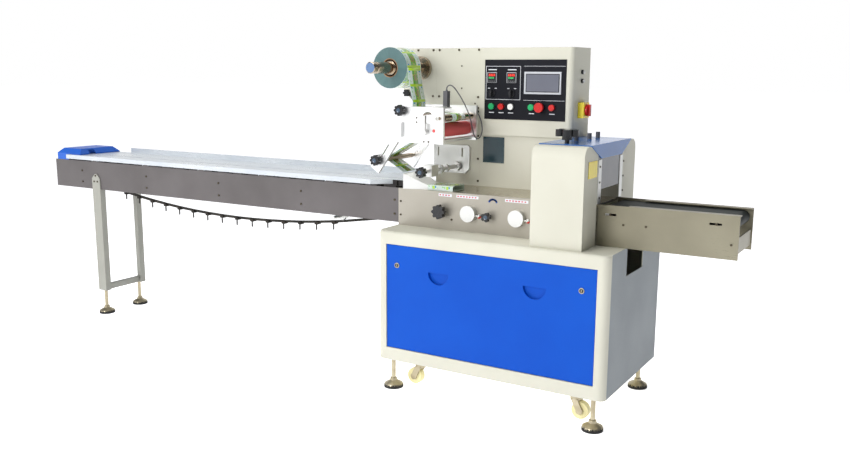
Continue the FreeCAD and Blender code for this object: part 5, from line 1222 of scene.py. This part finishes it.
@dataclass(frozen=True)
class FilmPath:
    """The film from the roll over the feeder to the forming box, in millimetres.

    Attributes:
        near: Front edge behind the cabinet's front.
        width: Width of the film.
        thick: Its thickness.
        roll: Middle of the roll after the cabinet's start, and above the floor.
        roll_radius: Radius of the full roll.
        core_radius: Radius of its core.
        overhang: How far the roll is wider than the film at each side.
        rim_round: Rounding of the roll's rim.
        core_wall: Wall of the core.
        roll_steps: Steps round the roll.
        leaves: Where the film leaves the roll, and its lean and curve on the way down.
        drop: How far it hangs freely, and the step of its points.
        turn: Its line from the drop to the run over the feeder.
        wraps: Its stretches round the chrome, rubber and idler rollers.
        end: Its end at the forming box.
        tube_lift: How far the print lies off the tube.
        tube_corner: Chamfer of the tube's upper corners.
        tube_foot: How far the print ends over the tube's underside.
        tube_thick: Thickness of the print on the tube.
    """

    near: float = 155.0
    width: float = 106.0
    thick: float = 0.8
    roll: tuple[float, float] = (-35.0, 1368.0)
    roll_radius: float = 86.0
    core_radius: float = 40.0
    overhang: float = 4.0
    rim_round: float = 0.8
    core_wall: float = 4.0
    roll_steps: int = 96
    leaves: tuple[float, float, float] = (51.7, 0.1, 0.00062)
    drop: tuple[int, int] = (150, 10)
    turn: tuple[tuple[float, float], ...] = (
        (76.0, 1206.0), (88.0, 1197.0), (104.0, 1191.0), (120.0, 1188.9), (140.0, 1188.3))
    wraps: tuple[Wrap, ...] = (
        Wrap((257.0, 1167.0), 15.7, 92.0, -79.0, 14),
        Wrap((232.0, 1116.0), 29.7, 101.0, 119.0, 3),
        Wrap((-41.0, 983.0), 11.7, 119.0, 231.0, 10),
    )
    end: tuple[float, float] = (30.0, 928.0)
    tube_lift: float = 0.4
    tube_corner: float = 3.0
    tube_foot: float = 1.0
    tube_thick: float = 0.3

    def route(self) -> list[tuple[float, float]]:
        """Works the film's own line out, from the roll to the forming box.

        Returns:
            The line's points in the XZ plane.
        """
        start, lean, curve = self.leaves
        points = [(start + lean * fall + curve * fall * fall, self.roll[1] - fall)
                  for fall in range(0, *self.drop)]
        points += self.turn
        for wrap in self.wraps:
            points += wrap.points()
        points.append(self.end)
        return points

    def build(self) -> None:
        """Makes the web, the roll and the tube."""
        self.ribbon("film_strip", self.route(), ("film_web",))
        self.wound_roll()
        self.tube()

    def ribbon(self, name: str, points: Sequence[tuple[float, float]], replaces: Sequence[str]) -> None:
        """Makes a thin closed strip with a UV map along it.

        Args:
            name: Name of the piece.
            points: Its line in the XZ plane, from the cabinet's start and the floor.
            replaces: CAD nodes that it stands for.
        """
        shape = bmesh.new()
        layer = shape.loops.layers.uv.new("film")
        rings = []
        along = 0.0
        for index, (x, z) in enumerate(points):
            before = points[max(index - 1, 0)]
            after = points[min(index + 1, len(points) - 1)]
            run = Vector((after[0] - before[0], after[1] - before[1])).normalized()
            side = Vector((-run.y, run.x)) * self.thick / 2
            if index:
                along += math.dist(points[index - 1], (x, z)) * MILLIMETRE
            ring = []
            for sign, across in ((1, 0.0), (1, 1.0), (-1, 1.0), (-1, 0.0)):
                place = spot(x + side.x * sign, self.near + self.width * across, z + side.y * sign)
                ring.append((shape.verts.new(mm(*place)), across))
            rings.append((ring, along))
        for (first, start), (second, end) in zip(rings, rings[1:]):
            for corner in range(4):
                other = (corner + 1) % 4
                spots = ((first[corner], start), (first[other], start),
                         (second[other], end), (second[corner], end))
                face = shape.faces.new([vertex for (vertex, _), _ in spots])
                face.smooth = corner % 2 == 0
                for loop, ((_, across), length) in zip(face.loops, spots):
                    loop[layer].uv = (across, length)
        for ring, _ in (rings[0], rings[-1]):
            shape.faces.new([vertex for vertex, _ in ring])
        bmesh.ops.recalc_face_normals(shape, faces=shape.faces)
        mesh = bpy.data.meshes.new(name)
        shape.to_mesh(mesh)
        shape.free()
        settle(mesh, name, "machine", [PrintedFilm().build()], replaces)

    def wound_roll(self) -> None:
        """Makes the roll: printed rim, wound sides and a core."""
        shape = bmesh.new()
        layer = shape.loops.layers.uv.new("film")
        steps = self.roll_steps
        x, z = self.roll
        front = self.near - self.overhang
        bore = self.core_radius - self.core_wall
        edge = self.roll_radius - self.rim_round
        width = self.width + 2 * self.overhang
        sections = (
            (bore, 0.0), (self.core_radius, 0.0), (edge, 0.0), (self.roll_radius, self.rim_round),
            (self.roll_radius, width - self.rim_round), (edge, width), (self.core_radius, width),
            (bore, width),
        )
        rings = []
        for step in range(steps):
            angle = 2 * math.pi * step / steps
            rings.append([shape.verts.new(mm(*spot(
                x + radius * math.cos(angle), front + deep, z + radius * math.sin(angle))))
                for radius, deep in sections])
        turn = self.roll_radius * 2 * math.pi * MILLIMETRE
        for step in range(steps):
            this, following = rings[step], rings[(step + 1) % steps]
            for index in range(len(sections)):
                other = (index + 1) % len(sections)
                face = shape.faces.new((this[index], this[other], following[other], following[index]))
                face.material_index = ROLL_MATERIALS.get(index, SIDE_MATERIAL)
                face.smooth = True
                for loop, (section, share) in zip(face.loops, ((index, step), (other, step),
                                                               (other, step + 1), (index, step + 1))):
                    across = sections[section][1] / width
                    loop[layer].uv = (across, share / steps * turn)
        bmesh.ops.recalc_face_normals(shape, faces=shape.faces)
        for edge in shape.edges:
            edge.smooth = edge.calc_face_angle(0.0) < SHARP_TURN
        mesh = bpy.data.meshes.new("wound_roll")
        shape.to_mesh(mesh)
        shape.free()
        settle(mesh, "wound_roll", "film_reel",
               [PrintedFilm().build(), WoundSide(mm(*spot(x, -CABINET_FRONT, z))).build(), CORE.build()],
               ("film_roll",))

    def tube(self) -> None:
        """Lays the printed film over the tube on the bed."""
        low, high = (Vector(corner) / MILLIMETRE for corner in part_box("film_tube"))
        shape = bmesh.new()
        layer = shape.loops.layers.uv.new("film")
        near, far, top = low.y - self.tube_lift, high.y + self.tube_lift, high.z + self.tube_lift
        foot, shoulder, corner = low.z + self.tube_foot, high.z - self.tube_corner, self.tube_corner
        path = ((near, foot), (near, shoulder), (low.y + corner, top), (high.y - corner, top),
                (far, shoulder), (far, foot))
        total = sum(math.dist(a, b) for a, b in zip(path, path[1:]))
        done = 0.0
        for first, second in zip(path, path[1:]):
            step = math.dist(first, second)
            corners = ((low.x, first, done), (high.x, first, done), (high.x, second, done + step),
                       (low.x, second, done + step))
            face = shape.faces.new([shape.verts.new(mm(x, y, z)) for x, (y, z), _ in corners])
            for loop, (x, _, across) in zip(face.loops, corners):
                loop[layer].uv = (across / total, x * MILLIMETRE)
            done += step
        bmesh.ops.remove_doubles(shape, verts=shape.verts, dist=WELD)
        bmesh.ops.recalc_face_normals(shape, faces=shape.faces)
        bmesh.ops.solidify(shape, geom=shape.faces[:], thickness=self.tube_thick * MILLIMETRE)
        mesh = bpy.data.meshes.new("film_tube_print")
        shape.to_mesh(mesh)
        shape.free()
        settle(mesh, "film_tube_print", "machine", [PrintedFilm().build()])


# ------------------------------------------------------------------ sensor cable

# The cable's turning points in metres, from the sensor's gland down, round and back to the plate's gland.
CABLE_ROUTE = tuple(mm(*spot(*place)) for place in (
    (207, 216, 1279),
    (207, 216, 1286),
    (211, 216.5, 1293.5),
    (219, 217.5, 1298),
    (228, 218.5, 1297.5),
    (237, 221, 1291.5),
    (248, 226, 1277),
    (266, 237, 1246),
    (282, 246, 1212),
    (292, 256, 1181),
    (298, 267, 1149),
    (298, 280, 1115),
    (296, 299, 1086),
    (296, 325, 1071),
    (299, 351, 1075),
    (298, 371, 1098),
    (290, 381, 1134),
    (275, 388, 1163),
    (259, 396, 1177),
    (252, 408, 1182),
))
CABLE_DIAMETER = 0.005
CABLE_BEVEL = 4
CABLE_STEPS = 12
CABLE_ORDER = 3


def sensor_cable() -> None:
    """Lays the sensor's cable along its route as one smooth line."""
    line = bpy.data.curves.new("sensor_cable_line", "CURVE")
    line.dimensions = "3D"
    line.bevel_depth = CABLE_DIAMETER / 2
    line.bevel_resolution = CABLE_BEVEL
    line.resolution_u = CABLE_STEPS
    line.use_fill_caps = True
    spline = line.splines.new("NURBS")
    spline.points.add(len(CABLE_ROUTE) - 1)
    for point, place in zip(spline.points, CABLE_ROUTE):
        point.co = (*place, 1.0)
    spline.order_u = CABLE_ORDER
    spline.use_endpoint_u = True
    line.materials.append(GREY_PLASTIC.build())
    item = bpy.data.objects.new("sensor_cable_line", line)
    bpy.context.scene.collection.objects.link(item)
    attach(item, "machine")
    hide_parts("sensor_cable")
    LOG.info("piece %s: %d points", item.name, len(spline.points))


# ------------------------------------------------------------------ marks, locks and plates


@dataclass(frozen=True)
class BedMarks:
    """Label strips and the arc mark on the bed's front plate, in millimetres.

    Attributes:
        face: Front of the plate behind the cabinet's front.
        strips: Left and right side of each strip.
        strip_low: Lower side of the strips above the floor.
        strip_high: Their upper side.
        strip_thick: Their thickness.
        bar_low: Lower side of the bars on a strip.
        bar_high: Their upper side.
        bar_width: Width of a bar.
        bar_thick: Thickness of a bar.
        bar_room: Length of strip for each bar.
        bar_start: First bar from the strip's left side.
        bar_spare: Length of strip that the bars leave free.
        arc_middle: Middle of the arc.
        arc_radius: Its radius.
        arc_start: Where it starts, in degrees.
        arc_turn: How far it goes.
        dots: Number of its dots.
        dot_radius: Radius of a dot.
        dot_thick: Thickness of a dot.
        dot_sides: Sides of a dot.
    """

    face: float = 165.0
    strips: tuple[tuple[float, float], ...] = ((202.0, 266.0), (288.0, 392.0), (514.0, 617.0))
    strip_low: float = 836.0
    strip_high: float = 848.0
    strip_thick: float = 0.5
    bar_low: float = 839.5
    bar_high: float = 844.5
    bar_width: float = 7.0
    bar_thick: float = 0.3
    bar_room: float = 15.0
    bar_start: float = 5.0
    bar_spare: float = 8.0
    arc_middle: tuple[float, float] = (459.0, 822.0)
    arc_radius: float = 19.0
    arc_start: float = 30.0
    arc_turn: float = 120.0
    dots: int = 12
    dot_radius: float = 4.4
    dot_thick: float = 0.6
    dot_sides: int = 16

    def build(self) -> None:
        """Adds the strips with their bars, and the arc of dots."""
        piece = Piece("bed_labels")
        paper = self.face - self.strip_thick
        for left, right in self.strips:
            piece.box(spot(left, paper, self.strip_low), spot(right, self.face, self.strip_high), WHITE_PRINT_AND_HIGHLIGHT)
            count = round((right - left) / self.bar_room)
            for index in range(count):
                x = left + self.bar_start + index * (right - left - self.bar_spare) / count
                piece.box(spot(x, paper - self.bar_thick, self.bar_low),
                          spot(x + self.bar_width, paper, self.bar_high), PINK_MARK)
        for index in range(self.dots):
            angle = math.radians(self.arc_start + index * self.arc_turn / (self.dots - 1))
            x = self.arc_middle[0] + self.arc_radius * math.cos(angle)
            z = self.arc_middle[1] + self.arc_radius * math.sin(angle)
            piece.rod("y", spot(x, self.face - self.dot_thick / 2, z), self.dot_radius, self.dot_thick,
                      BLUE_PAINT, sides=self.dot_sides)
        piece.finish("bed_steel")


@dataclass(frozen=True)
class PanelLocks:
    """Quarter-turn locks of the access panel, in millimetres.

    Attributes:
        places: Middles of the locks after the cabinet's start.
        level: Their middles above the floor.
        rim: Radius, length and middle before the panel of the round case.
        barrel: The same of the black barrel.
        slot_half: Half the width and half the height of the key's slot.
        slot_back: Back of the slot's bar before the panel.
        slot_front: Its front.
    """

    places: tuple[float, ...] = (97.0, 916.0)
    level: float = 553.0
    rim: tuple[float, float, float] = (11.0, 3.4, 1.2)
    barrel: tuple[float, float, float] = (8.0, 1.2, 3.2)
    slot_half: tuple[float, float] = (1.2, 5.0)
    slot_back: float = 3.6
    slot_front: float = 4.2

    def build(self) -> None:
        """Adds the locks."""
        low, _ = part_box("access_panel")
        face = low[1] / MILLIMETRE
        wide, tall = self.slot_half
        for index, x in enumerate(self.places):
            piece = Piece(f"panel_lock_{index + 1}")
            along, _, level = spot(x, 0, self.level)
            for (radius, length, out), finish in ((self.rim, ZINC), (self.barrel, BLACK)):
                piece.rod("y", (along, face - out, level), radius, length, finish)
            piece.box((along - wide, face - self.slot_front, level - tall),
                      (along + wide, face - self.slot_back, level + tall), ZINC)
            piece.finish("zinc")


@dataclass(frozen=True)
class BoxFittings:
    """Connectors and tag on the control box's right side, and the guard's label, in millimetres.

    Attributes:
        side: Right side of the box after the cabinet's start.
        behind: Middle of the connectors behind the cabinet's front.
        levels: Their middles above the floor.
        nut: Radius, length and middle beside the box of a connector's nut.
        plug: The same of its plug.
        tag_low: Front lower corner of the tag.
        tag_high: Its rear upper corner.
        tag_thick: Its thickness.
        label_side: Right side of the guard's wing.
        label_low: Front lower corner of the label.
        label_high: Its rear upper corner.
        label_thick: Its thickness.
        border_thick: Thickness of its border.
        border: Width of its border's strips.
    """

    side: float = 693.0
    behind: float = 496.0
    levels: tuple[float, ...] = (1355.0, 1318.0)
    nut: tuple[float, float, float] = (9.0, 8.0, 4.0)
    plug: tuple[float, float, float] = (6.5, 8.0, 11.0)
    tag_low: tuple[float, float] = (488.0, 1249.0)
    tag_high: tuple[float, float] = (510.0, 1266.0)
    tag_thick: float = 0.6
    label_side: float = 900.0
    label_low: tuple[float, float] = (66.0, 963.0)
    label_high: tuple[float, float] = (156.0, 1027.0)
    label_thick: float = 0.6
    border_thick: float = 0.9
    border: float = 2.0

    def build(self) -> None:
        """Adds the connectors, the tag and the label."""
        piece = Piece("box_connectors")
        for level in self.levels:
            for (radius, length, out), finish in ((self.nut, BLACK), (self.plug, STEEL)):
                piece.rod("x", spot(self.side + out, self.behind, level), radius, length, finish)
        piece.box(spot(self.side, *self.tag_low), spot(self.side + self.tag_thick, *self.tag_high), ORANGE)
        piece.finish("black_plastic")
        label = Piece("guard_label")
        low = spot(self.label_side, *self.label_low)
        label.box(low, spot(self.label_side + self.label_thick, *self.label_high), YELLOW_PLASTIC)
        label.frame(low, spot(self.label_side + self.border_thick, *self.label_high), self.border,
                    YELLOW_PLASTIC)
        label.finish("cream_paint")


# ------------------------------------------------------------------ knobs and levers


@dataclass(frozen=True)
class KnobCap:
    """Round cap in the middle of a lobed knob, in millimetres.

    Attributes:
        knob: The knob's node and body.
        radius: Radius of the cap's front.
        back_radius: Radius of its back.
        length: Its length.
        out: Its middle before the knob's front.
        glint: Radius and length of the small white disc, a painted highlight.
        glint_shift: The painted highlight's place from the cap's middle: aside, to the front and down.
    """

    knob: str
    radius: float = 8.5
    back_radius: float = 9.5
    length: float = 3.0
    out: float = 0.5
    glint: tuple[float, float] = (1.6, 0.8)
    glint_shift: tuple[float, float, float] = (1.5, 2.2, 5.5)

    def build(self) -> None:
        """Adds the cap and its painted highlight."""
        low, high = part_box(self.knob)
        x, _, z = ((a + b) / 2 / MILLIMETRE for a, b in zip(low, high))
        front = low[1] / MILLIMETRE
        piece = Piece(f"{self.knob}_cap", self.knob)
        piece.rod("y", (x, front - self.out, z), self.radius, self.length, CAP, self.back_radius)
        aside, out, down = self.glint_shift
        # Painted highlight: a small white disc off the cap's middle stands in for the lamp's glint on the
        # glossy cap.
        piece.rod("y", (x - aside, front - out, z - down), *self.glint, WHITE_PRINT_AND_HIGHLIGHT)
        piece.finish("black_plastic")


@dataclass(frozen=True)
class LeverGrip:
    """Red grip at the end of a sealing lever, in millimetres.

    Attributes:
        lever: The lever's node and body.
        along: Its middle after the cabinet's start.
        level: Its middle above the floor.
        radius: Its radius.
    """

    lever: str
    along: float
    level: float = 766.0
    radius: float = 8.5

    def build(self) -> None:
        """Adds the grip."""
        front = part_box(self.lever)[0][1] / MILLIMETRE - CABINET_FRONT
        piece = Piece(f"{self.lever}_grip", self.lever)
        piece.ball(spot(self.along, front + GRIP_SETBACK, self.level), self.radius, RED_PLASTIC)
        piece.finish("switch_plastic")


GRIP_SETBACK = 12.0
KNOB_CAPS = tuple(KnobCap(knob) for knob in (
    "clamp_knob_upper", "clamp_knob_arm", "clamp_knob_guide", "bed_star_knob"))
LEVER_GRIPS = (LeverGrip("sealing_lever_left", 403.0), LeverGrip("sealing_lever_right", 623.0))


# ------------------------------------------------------------------ stage

SENSOR_WIDTH = 36.0
FARTHEST = 200.0


@dataclass(frozen=True)
class Lamp:
    """One large soft light.

    Attributes:
        name: Its name.
        place: Where it hangs, in metres.
        target: What it looks at.
        power: Its power in watts.
        side: Side of its square face.
    """

    name: str
    place: Point
    target: Point
    power: float
    side: float

    def hang(self) -> None:
        """Adds the light to the scene."""
        lamp = bpy.data.lights.new(self.name, "AREA")
        lamp.energy = self.power
        lamp.size = self.side
        item = bpy.data.objects.new(self.name, lamp)
        item.location = self.place
        direction = Vector(self.target) - Vector(self.place)
        item.rotation_euler = direction.to_track_quat("-Z", "Y").to_euler()
        bpy.context.scene.collection.objects.link(item)


@dataclass(frozen=True)
class Studio:
    """Floor, lights, world and camera.

    Attributes:
        camera: Camera position.
        yaw: Turn of the view from +Y towards -X, in radians.
        pitch: Rise of the view, in radians.
        roll: Turn of the picture, in radians.
        lens: Focal length in millimetres on a 36 mm wide sensor.
        floor_half: Half the floor's side.
        room: Light of the room away from the backdrop.
        backdrop_edge: Cosine from the view's middle where the backdrop ends.
        backdrop_full: Cosine where it is fully white.
        lamps: The lights.
    """

    camera: Point = (2.4983, -3.3544, 1.3586)
    yaw: float = 0.5411
    pitch: float = -0.1859
    roll: float = -0.0053
    lens: float = 37.31
    floor_half: float = 60.0
    room: Colour = (0.13, 0.14, 0.155)
    backdrop_edge: float = 0.55
    backdrop_full: float = 0.8
    lamps: tuple[Lamp, ...] = (
        Lamp("key", (-1.6, -8.0, 4.2), (0.1, 0.0, 0.8), 430.0, 4.0),
        Lamp("fill", (-4.5, -3.5, 2.4), (-0.9, 0.0, 0.8), 60.0, 3.0),
        Lamp("top", (0.0, -0.6, 5.0), (0.0, 0.0, 0.5), 150.0, 4.0),
    )

    def build(self) -> None:
        """Sets the stage up."""
        self.lay_floor()
        self.hang_lights()
        self.light_world()
        self.aim_camera()

    def lay_floor(self) -> None:
        """Lays a large pale floor at the height of the feet."""
        half = self.floor_half
        mesh = bpy.data.meshes.new("floor")
        corners = [(-half, -half, 0), (half, -half, 0), (half, half, 0), (-half, half, 0)]
        mesh.from_pydata(corners, [], [(0, 1, 2, 3)])
        mesh.materials.append(FLOOR.build())
        floor = bpy.data.objects.new("floor", mesh)
        bpy.context.scene.collection.objects.link(floor)

    def hang_lights(self) -> None:
        """Hangs the large soft lights."""
        for lamp in self.lamps:
            lamp.hang()

    def light_world(self) -> None:
        """Makes a white backdrop behind the machine and a dimmer room round it."""
        world = bpy.data.worlds.new("studio")
        world.use_nodes = True
        tree = world.node_tree
        background = tree.nodes["Background"]
        place = tree.nodes.new("ShaderNodeTexCoord")
        toward = tree.nodes.new("ShaderNodeVectorMath")
        toward.operation = "DOT_PRODUCT"
        toward.inputs[1].default_value = (-math.sin(self.yaw), math.cos(self.yaw), 0.0)
        tree.links.new(place.outputs["Generated"], toward.inputs[0])
        spread = tree.nodes.new("ShaderNodeMapRange")
        spread.interpolation_type = "SMOOTHSTEP"
        spread.inputs["From Min"].default_value = self.backdrop_edge
        spread.inputs["From Max"].default_value = self.backdrop_full
        tree.links.new(toward.outputs["Value"], spread.inputs["Value"])
        shade = Maths(tree).mix(spread.outputs["Result"], self.room, (1.0, 1.0, 1.0))
        tree.links.new(shade, background.inputs["Color"])
        background.inputs["Strength"].default_value = 1.0
        bpy.context.scene.world = world
        bpy.context.scene.view_settings.view_transform = "Standard"

    def aim_camera(self) -> None:
        """Creates the camera and makes it the scene's."""
        lens = bpy.data.cameras.new("camera")
        lens.lens = self.lens
        lens.sensor_width = SENSOR_WIDTH
        lens.clip_end = FARTHEST
        item = bpy.data.objects.new("camera", lens)
        turn = (
            Matrix.Rotation(self.yaw, 4, "Z")
            @ Matrix.Rotation(math.pi / 2 + self.pitch, 4, "X")
            @ Matrix.Rotation(-self.roll, 4, "Z")
        )
        item.matrix_world = Matrix.Translation(self.camera) @ turn
        bpy.context.scene.collection.objects.link(item)
        bpy.context.scene.camera = item


FOOT_PAD_TOP = 14.0
CABINET_RIGHT = 1459.0
SHAFT_FRONT = -314.0
SWITCH_TOP = 1232.0
SELECTOR_LOW = 1240.0
SWITCH_COLOURS = ((GREEN_PLASTIC, 745.0, 790.0), (STEEL, 840.0, 880.0), (GREEN_PLASTIC, 930.0, 975.0))
LIP_TOP = 870.0
LIP_FRONT = -150.0
CASTER_ASIDE = 210.0
WHEEL_HALF = 15.0
WHEEL_TOP = 84.0
SQUARE_ON = 0.9


def dress_details(nodes: dict[str, bpy.types.Object]) -> None:
    """Gives parts of some CAD nodes a finish of their own.

    Args:
        nodes: CAD nodes by name.
    """
    paint_faces(nodes["levelling_feet"], RUBBER, lambda centre, normal: centre.z < FOOT_PAD_TOP)
    paint_faces(nodes["cabinet_walls"], SHADE_SIDE,
                lambda centre, normal: centre.x > CABINET_RIGHT and normal.x > SQUARE_ON)
    paint_faces(nodes["film_spindle"], SHAFT_END,
                lambda centre, normal: centre.y < SHAFT_FRONT and normal.y < -SQUARE_ON)
    switches = nodes["panel_switches"]
    for finish, first, last in SWITCH_COLOURS:
        paint_faces(switches, finish,
                    lambda centre, normal, a=first, b=last: a < centre.x < b and centre.z < SWITCH_TOP)
    paint_faces(nodes["infeed_table"], INFEED_SIDE,
                lambda centre, normal: normal.y < -HALF and centre.z < LIP_TOP and centre.y < LIP_FRONT)
    paint_faces(nodes["rear_casters"], NYLON, lambda centre, normal:
                abs(abs(centre.y) - CASTER_ASIDE) < WHEEL_HALF and centre.z < WHEEL_TOP)
    paint_faces(switches, BLACK, lambda centre, normal: centre.z > SELECTOR_LOW)


def main() -> None:
    """Loads the model, dresses it and sets the stage."""
    logging.basicConfig(level=logging.INFO)
    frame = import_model()
    nodes = frame["nodes"]
    dress_nodes(nodes)
    dress_details(nodes)
    for screws in SCREWS:
        screws.build()
    ControlPanel().build()
    FilmPath().build()
    sensor_cable()
    for sub_assembly in (BedMarks(), PanelLocks(), BoxFittings(), *KNOB_CAPS, *LEVER_GRIPS, Studio()):
        sub_assembly.build()


if __name__ == "__main__":
    main()
